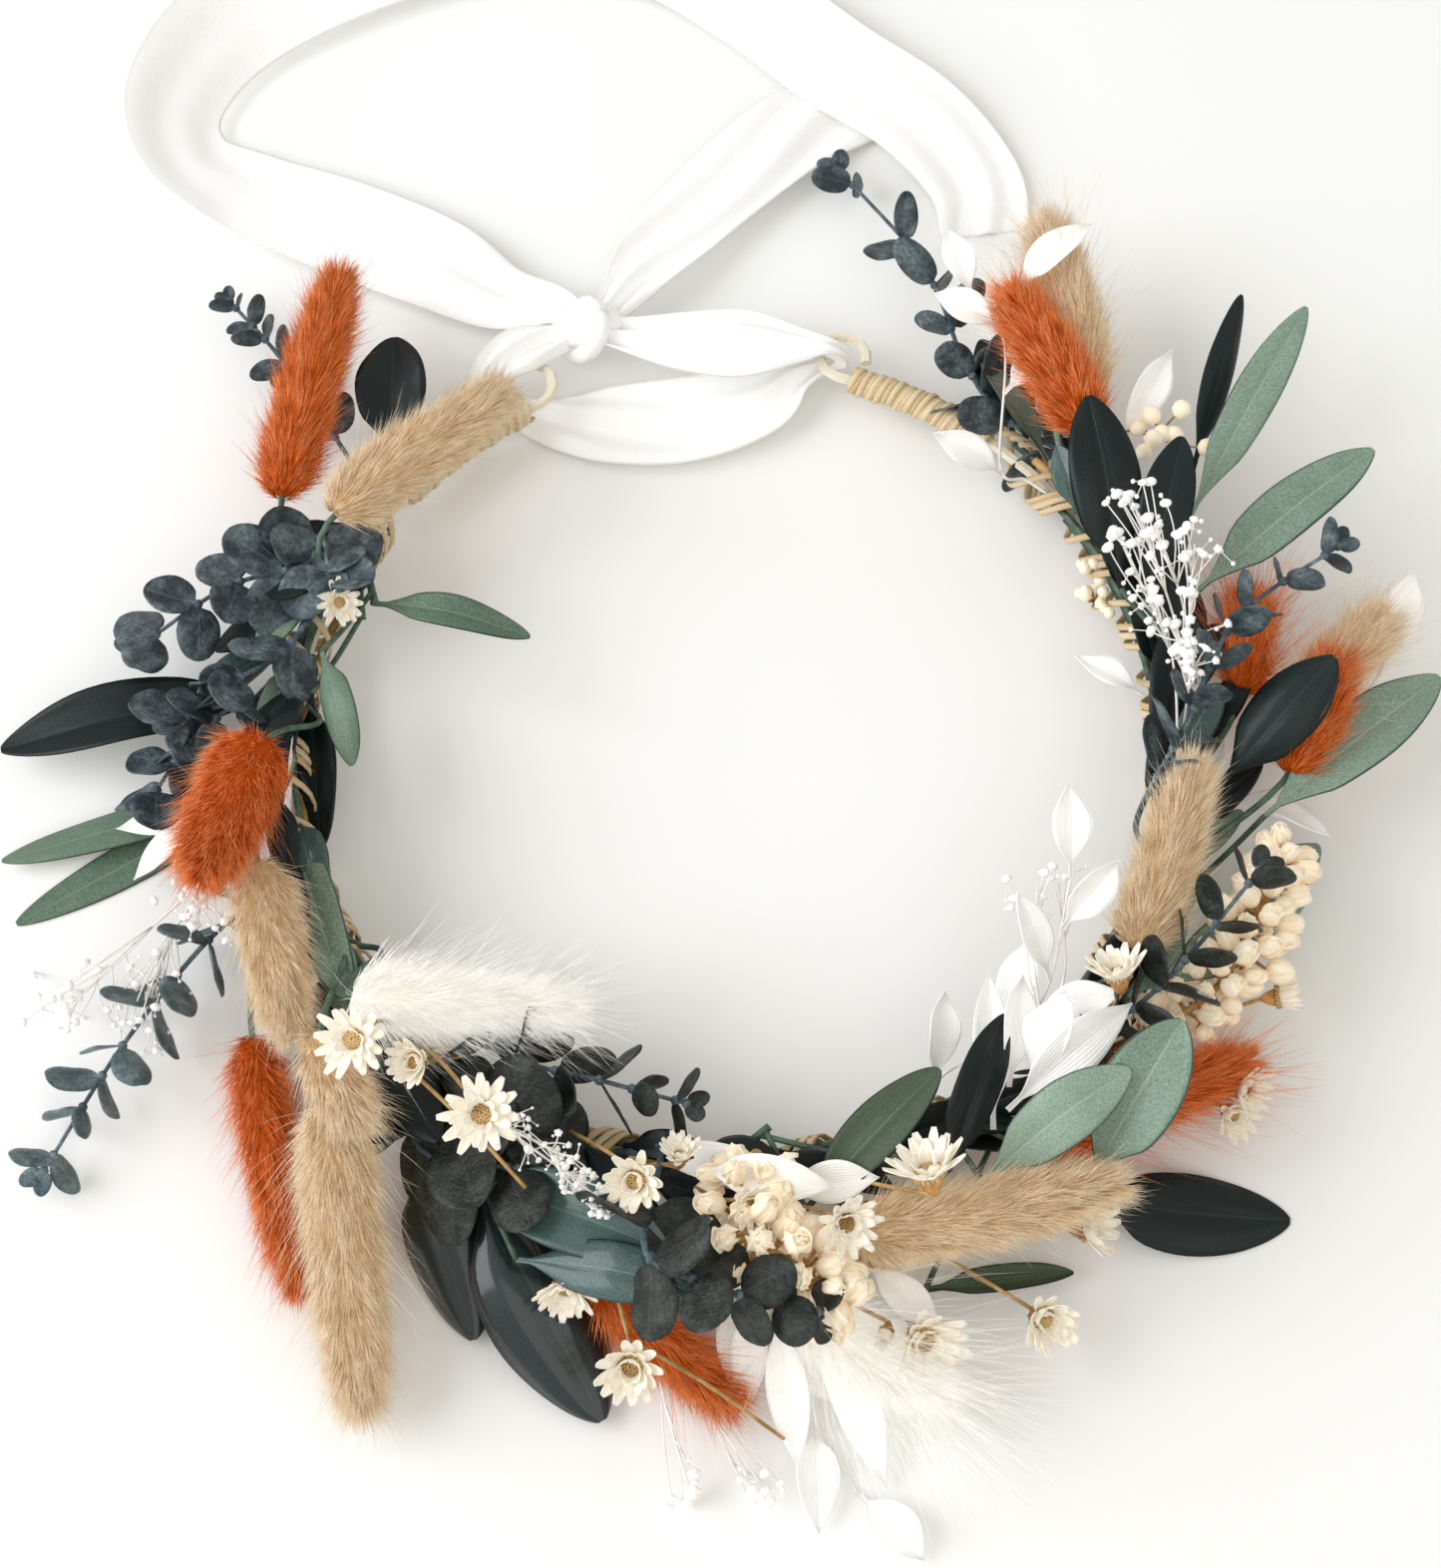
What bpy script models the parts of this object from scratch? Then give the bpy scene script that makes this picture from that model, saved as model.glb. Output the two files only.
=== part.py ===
"""Flower crown: a wire hoop bound with raffia, dried and preserved sprigs along it, and a satin ribbon at the back.

Lengths are metres with +Z up. The crown lies flat, as on a table, with the front towards -Y and the open back, which
the ribbon closes, towards +Y. Places are given as (angle, radius, height): degrees counter-clockwise from +X about the
middle of the hoop, and millimetres. The garland is bound from the left end, counter-clockwise to the right end.
"""

import math

import bmesh
import bpy
from mathutils import Matrix, Vector

MM = 0.001

# The hoop
HOOP_RADIUS = 90 * MM
HOOP_HEIGHT = 9.5 * MM
WIRE_RADIUS = 1.2 * MM
LEFT_END = 117
RIGHT_END = 435
EYE_RADIUS = 5.2 * MM
ARC_STEP = 6

# The raffia
STRAND_RADIUS = 0.7 * MM
BINDING_RADIUS = 5.0 * MM
BINDING_STEP = 12
WRAP_RADIUS = 2.9 * MM
WRAP_STRAND_RADIUS = 1.0 * MM
WRAP_STEP = 2.2
WRAP_ANGLE = 24

# The stems in the binding: eight places round the wire, counted from the outer side upwards. A foot starts
# FOOT_BURIED degrees of the hoop before the gap that it leaves by.
STEM_RING = 2.7 * MM
STEM_RADIUS = 0.8 * MM
STEM_PLACES = 8
FOOT_BURIED = 8
FOOT_STEP = 3.5
FOOT_LIFT = 4 * MM
BRANCH_RADIUS = 0.5 * MM
BRANCH_RISE = 2 * MM
FLORET_RISE = 1 * MM

# Sheets
LEAF_THICKNESS = 0.7 * MM
RIBBON_THICKNESS = 0.5 * MM
RIBBON_STEPS = 2

# How leaves, petals and buds stand on their stems: turns and leans in degrees
EUCALYPTUS_LEAN = 35
EUCALYPTUS_FIRST_TURN = 45
BLOOM_DEPTH = 3.5 * MM
BLOOM_FOOT = 0.35
PETAL_NOTCH = 0.72
BLOOM_LEAN = 0.35
SPIRAL_TURN = 137.5
SPIRAL_START = 40
BUD_TAPER = 0.35

MATERIALS = {
    "floral_wire": ((0.10, 0.16, 0.09), 0.45, 0.6),
    "raffia": ((0.72, 0.60, 0.38), 0.8, 0.0),
    "satin_ribbon": ((0.92, 0.91, 0.88), 0.4, 0.0),
    "tail_rust": ((0.60, 0.12, 0.03), 0.9, 0.0),
    "tail_tan": ((0.58, 0.42, 0.24), 0.9, 0.0),
    "tail_white": ((0.88, 0.86, 0.82), 0.9, 0.0),
    "eucalyptus": ((0.03, 0.05, 0.06), 0.6, 0.0),
    "ruscus_dark": ((0.02, 0.05, 0.05), 0.45, 0.0),
    "ruscus_sage": ((0.14, 0.22, 0.16), 0.6, 0.0),
    "bleached_leaf": ((0.90, 0.89, 0.86), 0.6, 0.0),
    "star_flower": ((0.85, 0.76, 0.56), 0.8, 0.0),
    "bud": ((0.88, 0.74, 0.50), 0.7, 0.0),
    "gypsophila": ((0.90, 0.89, 0.86), 0.8, 0.0),
}

# Bunny tails: material, angle where the stem leaves the binding, its place round the wire, the way it lies
# (+1 towards the right end), the head's two ends and the radius of its firm core in millimetres
TAILS = [
    ("tail_rust_1", "tail_rust", 160, 1, -1, (151, 107, 19), (129, 133, 23), 5.5),
    ("tail_tan_1", "tail_tan", 163, 2, -1, (152, 92, 27), (124, 85, 30), 6.0),
    ("tail_rust_2", "tail_rust", 175, 3, 1, (186, 93, 30), (202, 108, 40), 7.5),
    ("tail_tan_2", "tail_tan", 188, 1, 1, (198, 98, 22), (221, 108, 21), 5.5),
    ("tail_rust_3", "tail_rust", 200, 0, 1, (214, 113, 10), (234, 139, 8), 4.5),
    ("tail_tan_3", "tail_tan", 211, 2, 1, (222, 104, 32), (235, 113, 38), 4.5),
    ("tail_tan_4", "tail_tan", 215, 1, 1, (229, 117, 22), (245, 157, 10), 6.5),
    ("tail_white_1", "tail_white", 207, 3, 1, (219, 94, 27), (243, 66, 27), 6.0),
    ("tail_rust_4", "tail_rust", 246, 0, 1, (257, 114, 9), (270, 134, 7), 4.5),
    ("tail_white_2", "tail_white", 266, 0, 1, (276, 117, 12), (286, 139, 10), 4.5),
    ("tail_tan_5", "tail_tan", 270, 1, 1, (282, 108, 22), (306, 121, 28), 6.0),
    ("tail_rust_5", "tail_rust", 290, 1, 1, (303, 102, 14), (325, 122, 14), 5.5),
    ("tail_tan_6", "tail_tan", 314, 2, 1, (327, 93, 25), (352, 93, 26), 5.5),
    ("tail_rust_6", "tail_rust", 342, 1, 1, (354, 112, 20), (5, 122, 26), 5.0),
    ("tail_tan_7", "tail_tan", 350, 0, 1, (3, 124, 18), (11, 140, 24), 5.0),
    ("tail_rust_7", "tail_rust", 354, 1, 1, (5, 105, 14), (16, 112, 14), 4.5),
    ("tail_rust_8", "tail_rust", 30, 2, 1, (41, 99, 24), (58, 112, 30), 6.0),
    ("tail_tan_8", "tail_tan", 33, 1, 1, (46, 116, 16), (60, 136, 22), 5.0),
    ("tail_white_3", "tail_white", 38, 7, 1, (51, 113, 5), (62, 129, 4), 4.0),
]
TAIL_PROFILE = ((0.0, 0.35), (0.12, 0.88), (0.4, 1.0), (0.8, 0.8), (1.0, 0.3))

# Eucalyptus: the angle, place and way of the stem's foot, the points of the stem beyond it, the leaf pairs, the leaf
# radius at the first pair and at the last, and the share of the stem that is bare
EUCALYPTUS = [
    ("eucalyptus_1", 150, 7, -1, [(137, 131, 9), (136, 152, 10.5)], 4, 5.0, 3.2, 0.35),
    ("eucalyptus_2", 148, 1, 1, [(160, 106, 15), (167, 115, 21), (173, 126, 22)], 5, 9.0, 7.0, 0.35),
    ("eucalyptus_3", 168, 0, 1, [(178, 104, 19), (188, 128, 18)], 3, 8.0, 7.5, 0.35),
    ("eucalyptus_4", 192, 7, 1, [(203, 113, 11), (209, 136, 11), (214, 160, 7)], 6, 6.5, 4.2, 0.25),
    ("eucalyptus_5", 221, 0, 1, [(232, 108, 12), (240, 113, 13)], 2, 6.0, 6.0, 0.5),
    ("eucalyptus_6", 228, 4, 1, [(240, 82, 19), (252, 80, 21), (264, 81, 20)], 5, 6.5, 4.5, 0.35),
    ("eucalyptus_7", 253, 2, 1, [(265, 108, 35), (270, 120, 38), (275, 131, 33)], 4, 7.5, 5.5, 0.3),
    ("eucalyptus_8", 306, 3, 1, [(315, 100, 23), (326, 110, 31), (338, 118, 36)], 5, 5.5, 3.8, 0.25),
    ("eucalyptus_9", 348, 3, 1, [(358, 90, 25), (8, 107, 36), (16, 129, 38)], 6, 6.0, 4.0, 0.2),
    ("eucalyptus_10", 43, 0, 1, [(56, 107, 12), (67, 118, 16), (81, 142, 8)], 5, 7.5, 5.5, 0.3),
]

# Ruscus: leave angle, place, way, and the leaves, each with its tip, width, roll in degrees and the height of its arch
RUSCUS = [
    ("ruscus_1", "ruscus_dark", 166, 7, 1, [((180, 150, 4), 15, 0, 4)]),
    ("ruscus_2", "ruscus_sage", 177, 7, 1, [((189, 150, 3), 10, 10, 1), ((194, 149, 0.35), 11, 0, -3)]),
    ("ruscus_3", "ruscus_sage", 148, 4, 1, [((155, 46, 20), 10, 0, 4), ((188, 76, 22), 9, 40, 2)]),
    ("ruscus_4", "ruscus_dark", 158, 5, 1, [((198, 84, 6), 12, 30, 2)]),
    ("ruscus_5", "ruscus_dark", 232, 7, 1, [((248, 132, 2), 14, 0, 0), ((261, 140, 5), 17, -15, -1)]),
    ("ruscus_6", "ruscus_sage", 236, 1, 1, [((255, 105, 19), 13, 10, 3), ((266, 125, 21), 12, 0, 2)]),
    ("ruscus_7", "ruscus_dark", 276, 3, 1, [((297, 87, 30), 13, 30, 4), ((310, 84, 27), 11, 50, 3)]),
    ("ruscus_8", "ruscus_sage", 289, 2, 1, [((313, 109, 41), 14, 0, 6), ((318, 106, 38), 13, 0, 5)]),
    ("ruscus_9", "ruscus_dark", 297, 7, 1, [((317, 146, 0.35), 17, 0, -4), ((301, 127, 5), 9, 0, 1)]),
    ("ruscus_10", "ruscus_sage", 338, 0, 1, [((2, 143, 11), 14, 0, 1), ((350, 121, 5), 12, 0, 1)]),
    ("ruscus_11", "ruscus_dark", 8, 1, 1, [((42, 99, 36), 14, 10, 5), ((33, 110, 32), 12, 30, 3)]),
    ("ruscus_12", "ruscus_sage", 13, 0, 1, [((38, 154, 24), 12, 20, 4), ((24, 145, 26), 14, 0, 4)]),
]

# Bleached ruscus: leave angle, place, way, the points of the stem beyond its foot, and the number, length and width
# of its leaves, which stand by turns on its two sides
BLEACHED = [
    ("bleached_ruscus_1", 299, 3, 1, [(315, 83, 22), (330, 74, 34)], 4, 19, 9),
    ("bleached_ruscus_2", 346, 7, 1, [(357, 122, 5), (4, 147, 6)], 4, 20, 10),
    ("bleached_ruscus_3", 47, 3, 1, [(62, 99, 30), (64, 116, 34)], 4, 17, 9),
    ("bleached_ruscus_4", 262, 7, 1, [(272, 116, 2), (279, 152, 0.9)], 4, 20, 9),
]

# Star flowers: leave angle, place, way, the place of each bloom and its radius in millimetres
STARS = [
    ("star_flower_1", 224, 2, [((226, 99, 42), 8.0), ((235, 96, 40), 6.5), ((243, 99, 44), 8.0)]),
    ("star_flower_2", 240, 2, [((257, 97, 37), 7.0), ((262, 133, 30), 7.5)]),
    ("star_flower_3", 279, 0, [((285, 133, 23), 7.5), ((294, 136, 16), 5.5), ((301, 131, 19), 5.5)]),
    ("star_flower_4", 316, 7, [((333, 127, 10), 5.5), ((326, 133, 8), 5.0)]),
]

# Bud clusters: leave angle, place, the spine's end, the number of buds and their radius in millimetres
BUDS = [
    ("bud_cluster_1", 266, 2, [(274, 100, 26), (281, 116, 32)], 9, 4.4),
    ("bud_cluster_2", 320, 0, [(331, 112, 18), (346, 118, 19)], 9, 4.4),
]

GYPSOPHILA = [
    ("gypsophila_1", 8, 3, [(21, 82, 39), (31, 92, 47), (17, 108, 48), (9, 94, 45), (28, 83, 41), (14, 80, 33)], 2.3),
]

# The ribbon's strips: points, each with its width in millimetres and its roll in degrees
BACK_SPAN = [
    ((104, 98, 10.5), 8, 0), ((96, 95, 12), 15, 0), ((88, 93.5, 13), 17, 0), ((80, 94, 13), 8, 0),
    ((77, 94.5, 12.6), 4, 0), ((75, 95, 9.5), 4, 0), ((77, 94.2, 6.2), 4, 0), ((81, 91, 5), 10, 0),
    ((86, 84, 4), 18, 0), ((97, 78, 3), 22, 0), ((108, 80, 3), 20, 0), ((115, 87, 2.5), 14, 0), ((119, 95, 3), 8, 0),
]
LEFT_TAIL = [
    ((110, 112, 7), 9, 0), ((115, 121, 6), 17, 0), ((119, 137, 5), 24, 0), ((124, 157, 4), 25, 0),
    ((128, 175, 5), 25, 10), ((130, 190, 8), 24, 25), ((128, 204, 10), 24, 35), ((122, 214, 10), 25, 35),
    ((113, 217, 10), 25, 30), ((104, 217, 8), 25, 20), ((95, 207, 5), 25, 10), ((88, 189, 2.5), 25, 0),
    ((83, 174, 1.2), 25, 0), ((76, 166, 0.6), 24, 0), ((69, 155, 0.4), 23, 0), ((66, 142, 0.4), 22, 0),
]
RIGHT_TAIL = [
    ((103, 110, 8), 8, 0), ((98, 121, 7), 16, 0), ((92, 136, 6), 22, 0), ((86, 152, 6), 25, 0), ((80, 169, 5.5), 25, 0),
    ((74, 181, 4.5), 25, 0),
]
KNOT = ((108, 104, 9.5), (6.5, 5.0, 4.5))


def place(angle, radius, height):
    """The point at this angle and radius about the middle of the hoop, at this height."""
    turn = math.radians(angle)
    return Vector((radius * math.cos(turn), radius * math.sin(turn), height)) * MM


def beside_wire(angle, around, distance):
    """The point this far from the wire, `around` degrees round it from the outer side upwards."""
    turn = math.radians(angle)
    lift = math.radians(around)
    radius = HOOP_RADIUS + distance * math.cos(lift)
    height = HOOP_HEIGHT + distance * math.sin(lift)
    return Vector((radius * math.cos(turn), radius * math.sin(turn), height))


def leaving_angle(wanted, around):
    """The middle of the gap between two turns of the binding that is nearest to the wanted angle."""
    if wanted < LEFT_END:
        wanted += 360
    first_gap = LEFT_END + WRAP_ANGLE + BINDING_STEP * (0.5 + around / 360)
    return first_gap + BINDING_STEP * round((wanted - first_gap) / BINDING_STEP)


def stem_foot(wanted, stem_place, way):
    """The foot of a stem: it lies along the wire under the binding, then leaves between two turns of it."""
    around = 360 / STEM_PLACES * stem_place
    leave = leaving_angle(wanted, around)
    return [
        beside_wire(leave - FOOT_BURIED * way, around, STEM_RING),
        beside_wire(leave - FOOT_STEP * way, around, STEM_RING),
        beside_wire(leave, around, BINDING_RADIUS),
        beside_wire(leave + FOOT_STEP * way, around, BINDING_RADIUS + FOOT_LIFT),
    ]


def on_curve(points, position):
    """The point at this position, counted in spans, on the smooth curve (Catmull-Rom) through the points."""
    ends = [2 * points[0] - points[1], *points, 2 * points[-1] - points[-2]]
    span = min(int(position), len(points) - 2)
    t = position - span
    before, start, end, after = ends[span : span + 4]
    bend = 2 * before - 5 * start + 4 * end - after
    return 0.5 * (2 * start + (end - before) * t + bend * t * t + (3 * start - before - 3 * end + after) * t**3)


def smooth(points, steps):
    """The smooth curve through the points, cut into this many steps to a span."""
    return [on_curve(points, count / steps) for count in range((len(points) - 1) * steps + 1)]


def fork(foot, count):
    """Where this branch leaves the foot of its stem: each one a little before the last."""
    return foot[-1] - (foot[-1] - foot[-2]) * 0.1 * (count + 1)


def sprig_route(foot, spine):
    """The foot of a stem as it is, and then a smooth curve through the points of its spine."""
    points = [*foot, *(place(*point) for point in spine)]
    start = len(foot) - 1
    beyond = [on_curve(points, start + count / 2) for count in range(1, 2 * len(spine) + 1)]
    return [*foot, *beyond]


def material(name):
    """A material of the given name from the table of colours, made once."""
    found = bpy.data.materials.get(name)
    if found:
        return found
    color, roughness, metallic = MATERIALS[name]
    made = bpy.data.materials.new(name)
    made.use_nodes = True
    shader = made.node_tree.nodes["Principled BSDF"]
    shader.inputs["Base Color"].default_value = (*color, 1)
    shader.inputs["Roughness"].default_value = roughness
    shader.inputs["Metallic"].default_value = metallic
    return made


def add(name, data, material_name):
    """An object of this data in the crown's collection."""
    made = bpy.data.objects.new(name, data)
    bpy.data.collections["flower_crown"].objects.link(made)
    data.materials.clear()
    data.materials.append(material(material_name))
    return made


def tube(name, route, radii, material_name, half_sides=0):
    """A tube along the route, with a radius at each point; it has 4 sides, and 2 more for each of half_sides."""
    curve = bpy.data.curves.new(name, "CURVE")
    curve.dimensions = "3D"
    curve.bevel_depth = MM
    curve.bevel_resolution = half_sides
    curve.use_fill_caps = True
    spline = curve.splines.new("POLY")
    spline.points.add(len(route) - 1)
    for point, position, radius in zip(spline.points, route, radii):
        point.co = (*position, 1)
        point.radius = radius / MM
    return add(name, curve, material_name)


def strip(name, route, widths, rolls, thickness, material_name):
    """A sheet along the route: a grid one cell wide whose rows lie across it, turned by the rolls, then thickened."""
    last = len(route) - 1
    ahead = [(route[min(row + 1, last)] - route[max(row - 1, 0)]).normalized() for row in range(last + 1)]
    across = [ahead[0].cross(Vector((0, 0, 1))).normalized()]
    for direction in ahead[1:]:
        level = direction.cross(Vector((0, 0, 1)))
        carried = across[-1] - across[-1].dot(direction) * direction
        across.append((level * (level.dot(carried)) if level.length > 0.5 else carried).normalized())
    mesh = bpy.data.meshes.new(name)
    grid = bmesh.new()
    bmesh.ops.create_grid(grid, x_segments=1, y_segments=last, size=1)
    for vertex in grid.verts:
        row = round((vertex.co.y + 1) / 2 * last)
        side = across[row].copy()
        side.rotate(Matrix.Rotation(math.radians(rolls[row]), 3, ahead[row]))
        vertex.co = route[row] + side * vertex.co.x * widths[row] / 2
    grid.to_mesh(mesh)
    grid.free()
    made = add(name, mesh, material_name)
    shell = made.modifiers.new("thickness", "SOLIDIFY")
    shell.thickness = thickness
    shell.offset = 0
    return made


def evaluated_mesh(thing):
    """The object's mesh with its modifiers, welded, in world space."""
    bpy.context.view_layer.update()
    graph = bpy.context.evaluated_depsgraph_get()
    mesh = bpy.data.meshes.new_from_object(thing.evaluated_get(graph))
    welded = bmesh.new()
    welded.from_mesh(mesh)
    bmesh.ops.remove_doubles(welded, verts=welded.verts, dist=1e-6)
    welded.to_mesh(mesh)
    welded.free()
    mesh.transform(thing.matrix_world)
    return mesh


def fuse(name, pieces, material_name):
    """One body from pieces that run into each other; the first piece is the one that all the others meet."""
    rest = bmesh.new()
    for piece in pieces[1:]:
        rest.from_mesh(evaluated_mesh(piece))
    rest_mesh = bpy.data.meshes.new(name + "_rest")
    rest.to_mesh(rest_mesh)
    rest.free()
    rest_object = add(name + "_rest", rest_mesh, material_name)
    stem = add(name + "_stem", evaluated_mesh(pieces[0]), material_name)
    union = stem.modifiers.new("union", "BOOLEAN")
    union.operation = "UNION"
    union.object = rest_object
    union.use_self = True
    made = add(name, evaluated_mesh(stem), material_name)
    for used in [*pieces, stem, rest_object]:
        bpy.data.objects.remove(used, do_unlink=True)
    return made


def hoop_route():
    """The wire: an arc round the open back, curled outwards into an eye at each end."""
    arc = [beside_wire(angle, 0, 0) for angle in range(LEFT_END, RIGHT_END + 1, ARC_STEP)]

    def eye(end, ahead):
        outward = Vector((end.x, end.y, 0)).normalized()
        middle = end + outward * EYE_RADIUS
        turns = [math.radians(angle) for angle in range(30, 286, 30)]
        return [middle + EYE_RADIUS * (ahead * math.sin(turn) - outward * math.cos(turn)) for turn in turns]

    left = eye(arc[0], (arc[0] - arc[1]).normalized())
    right = eye(arc[-1], (arc[-1] - arc[-2]).normalized())
    return [*reversed(left), *arc, *right]


def coil_route(start, end, step, radius):
    """Raffia wound round the wire from one angle to another: eight points to a turn."""
    count = round((end - start) / step * 8)
    return [beside_wire(start + step * point / 8, 45 * point, radius) for point in range(count + 1)]


def make_frame():
    route = hoop_route()
    tube("wire_hoop", route, [WIRE_RADIUS] * len(route), "floral_wire", 1)
    binding = coil_route(LEFT_END + WRAP_ANGLE, RIGHT_END - WRAP_ANGLE, BINDING_STEP, BINDING_RADIUS)
    tube("raffia_binding", binding, [STRAND_RADIUS] * len(binding), "raffia")
    wraps = (
        ("raffia_wrap_left", LEFT_END + 2, LEFT_END + WRAP_ANGLE - 2),
        ("raffia_wrap_right", RIGHT_END - WRAP_ANGLE + 2, RIGHT_END - 2),
    )
    for name, start, end in wraps:
        wrap = coil_route(start, end, WRAP_STEP, WRAP_RADIUS)
        tube(name, wrap, [WRAP_STRAND_RADIUS] * len(wrap), "raffia")


def make_ribbon():
    strips = (("ribbon_back_span", BACK_SPAN), ("ribbon_tail_left", LEFT_TAIL), ("ribbon_tail_right", RIGHT_TAIL))
    for name, rows in strips:
        points = [place(*row[0]) for row in rows]
        route = smooth(points, RIBBON_STEPS)
        positions = [count / RIBBON_STEPS for count in range(len(route))]
        low = [min(int(position), len(rows) - 2) for position in positions]
        mix = [(rows[row], rows[row + 1], position - row) for row, position in zip(low, positions)]
        widths = [(start[1] + (end[1] - start[1]) * t) * MM for start, end, t in mix]
        rolls = [start[2] + (end[2] - start[2]) * t for start, end, t in mix]
        strip(name, route, widths, rolls, RIBBON_THICKNESS, "satin_ribbon")
    middle, radii = KNOT
    mesh = bpy.data.meshes.new("ribbon_knot")
    ball = bmesh.new()
    matrix = Matrix.Translation(place(*middle)) @ Matrix.Diagonal((*(radius * MM for radius in radii), 1))
    bmesh.ops.create_uvsphere(ball, u_segments=12, v_segments=8, radius=1, matrix=matrix)
    ball.to_mesh(mesh)
    ball.free()
    add("ribbon_knot", mesh, "satin_ribbon")


def make_tails():
    for name, look, wanted, stem_place, way, base, tip, core in TAILS:
        points = [*stem_foot(wanted, stem_place, way), place(*base), place(*tip)]
        head = len(points) - 2
        stem = [*range(head), head - 0.5]
        positions = stem + [head + share for share, _ in TAIL_PROFILE]
        radii = [STEM_RADIUS] * len(stem) + [core * MM * swell for _, swell in TAIL_PROFILE]
        tube(name, [on_curve(points, position) for position in positions], radii, look, 1)


def blade(name, start, tip, width, roll, arch, material_name):
    """A leaf from its petiole's start to its tip, arched upwards; where it reaches the table it lies flat on it."""
    middle = (start + tip) / 2 + Vector((0, 0, arch * MM))
    route = smooth([start, middle, tip], 3)
    for point in route:
        point.z = max(point.z, LEAF_THICKNESS / 2)
    widths = []
    for row in range(len(route)):
        t = row / (len(route) - 1)
        swell = math.sin(math.pi * min(1, t**0.85 * 0.97 + 0.02)) ** 0.8
        petiole = min(1, max(0, (t - 0.08) / 0.25))
        widths.append(max(1.0, width * swell * petiole) * MM)
    return strip(name, route, widths, [roll] * len(route), LEAF_THICKNESS, material_name)


def make_ruscus():
    for name, look, wanted, stem_place, way, leaves in RUSCUS:
        foot = stem_foot(wanted, stem_place, way)
        start = foot[-1]
        pieces = [tube(name + "_foot", foot, [STEM_RADIUS] * len(foot), look)]
        for count, (tip, width, roll, arch) in enumerate(leaves):
            inside = start - (start - foot[-2]) * (0.15 + 0.25 * count)
            pieces.append(blade(f"{name}_leaf_{count}", inside, place(*tip), width, roll, arch, look))
        fuse(name, pieces, look)


def frame_on(route, position):
    """A point on the route and its direction, with a side and an upper direction square to it."""
    row = min(int(position * (len(route) - 1)), len(route) - 2)
    share = position * (len(route) - 1) - row
    ahead = (route[row + 1] - route[row]).normalized()
    side = ahead.cross(Vector((0, 0, 1))).normalized()
    return route[row].lerp(route[row + 1], share), ahead, side, side.cross(ahead)


def make_eucalyptus():
    for name, wanted, stem_place, way, spine, pairs, foot_leaf, tip_leaf, bare in EUCALYPTUS:
        route = sprig_route(stem_foot(wanted, stem_place, way), spine)
        radii = [STEM_RADIUS * (1 - 0.4 * row / len(route)) for row in range(len(route))]
        stem = tube(name + "_stem_tube", route, radii, "eucalyptus")
        foot_share = 3 / (len(route) - 1)
        leaves = bmesh.new()
        for pair in range(pairs):
            share = pair / max(1, pairs - 1)
            radius = (foot_leaf + (tip_leaf - foot_leaf) * share) * MM
            beyond_foot = bare + (0.96 - bare) * share
            middle, ahead, side, upper = frame_on(route, foot_share + (1 - foot_share) * beyond_foot)
            turn = math.radians(EUCALYPTUS_FIRST_TURN + 90 * pair)
            lean = math.radians(EUCALYPTUS_LEAN)
            for half in (0, math.pi):
                out = side * math.cos(turn + half) + upper * math.sin(turn + half)
                along = (out * math.cos(lean) + ahead * math.sin(lean)).normalized()
                across = along.cross(ahead).normalized()
                center = middle + along * radius * 0.98
                spread = Matrix((across * radius, along * radius, across.cross(along) * LEAF_THICKNESS)).transposed()
                matrix = Matrix.Translation(center) @ spread.to_4x4()
                bmesh.ops.create_cone(
                    leaves, cap_ends=True, segments=6, radius1=1, radius2=1, depth=1, matrix=matrix
                )
        mesh = bpy.data.meshes.new(name + "_leaves")
        leaves.to_mesh(mesh)
        leaves.free()
        fuse(name, [stem, add(name + "_leaves", mesh, "eucalyptus")], "eucalyptus")


def make_bleached_ruscus():
    for name, wanted, stem_place, way, spine, count, length, width in BLEACHED:
        route = sprig_route(stem_foot(wanted, stem_place, way), spine)
        pieces = [tube(name + "_stem_tube", route, [STEM_RADIUS * 0.8] * len(route), "bleached_leaf")]
        for leaf in range(count):
            middle, ahead, side, upper = frame_on(route, 0.5 + 0.48 * leaf / (count - 1))
            out = side * (1 if leaf % 2 else -1) * (0.3 if leaf == count - 1 else 0.8)
            tip = middle + (ahead + out + upper * 0.1).normalized() * length * MM
            pieces.append(blade(f"{name}_leaf_{leaf}", middle - ahead * 0.2 * MM, tip, width, 0, 1, "bleached_leaf"))
        fuse(name, pieces, "bleached_leaf")


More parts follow.
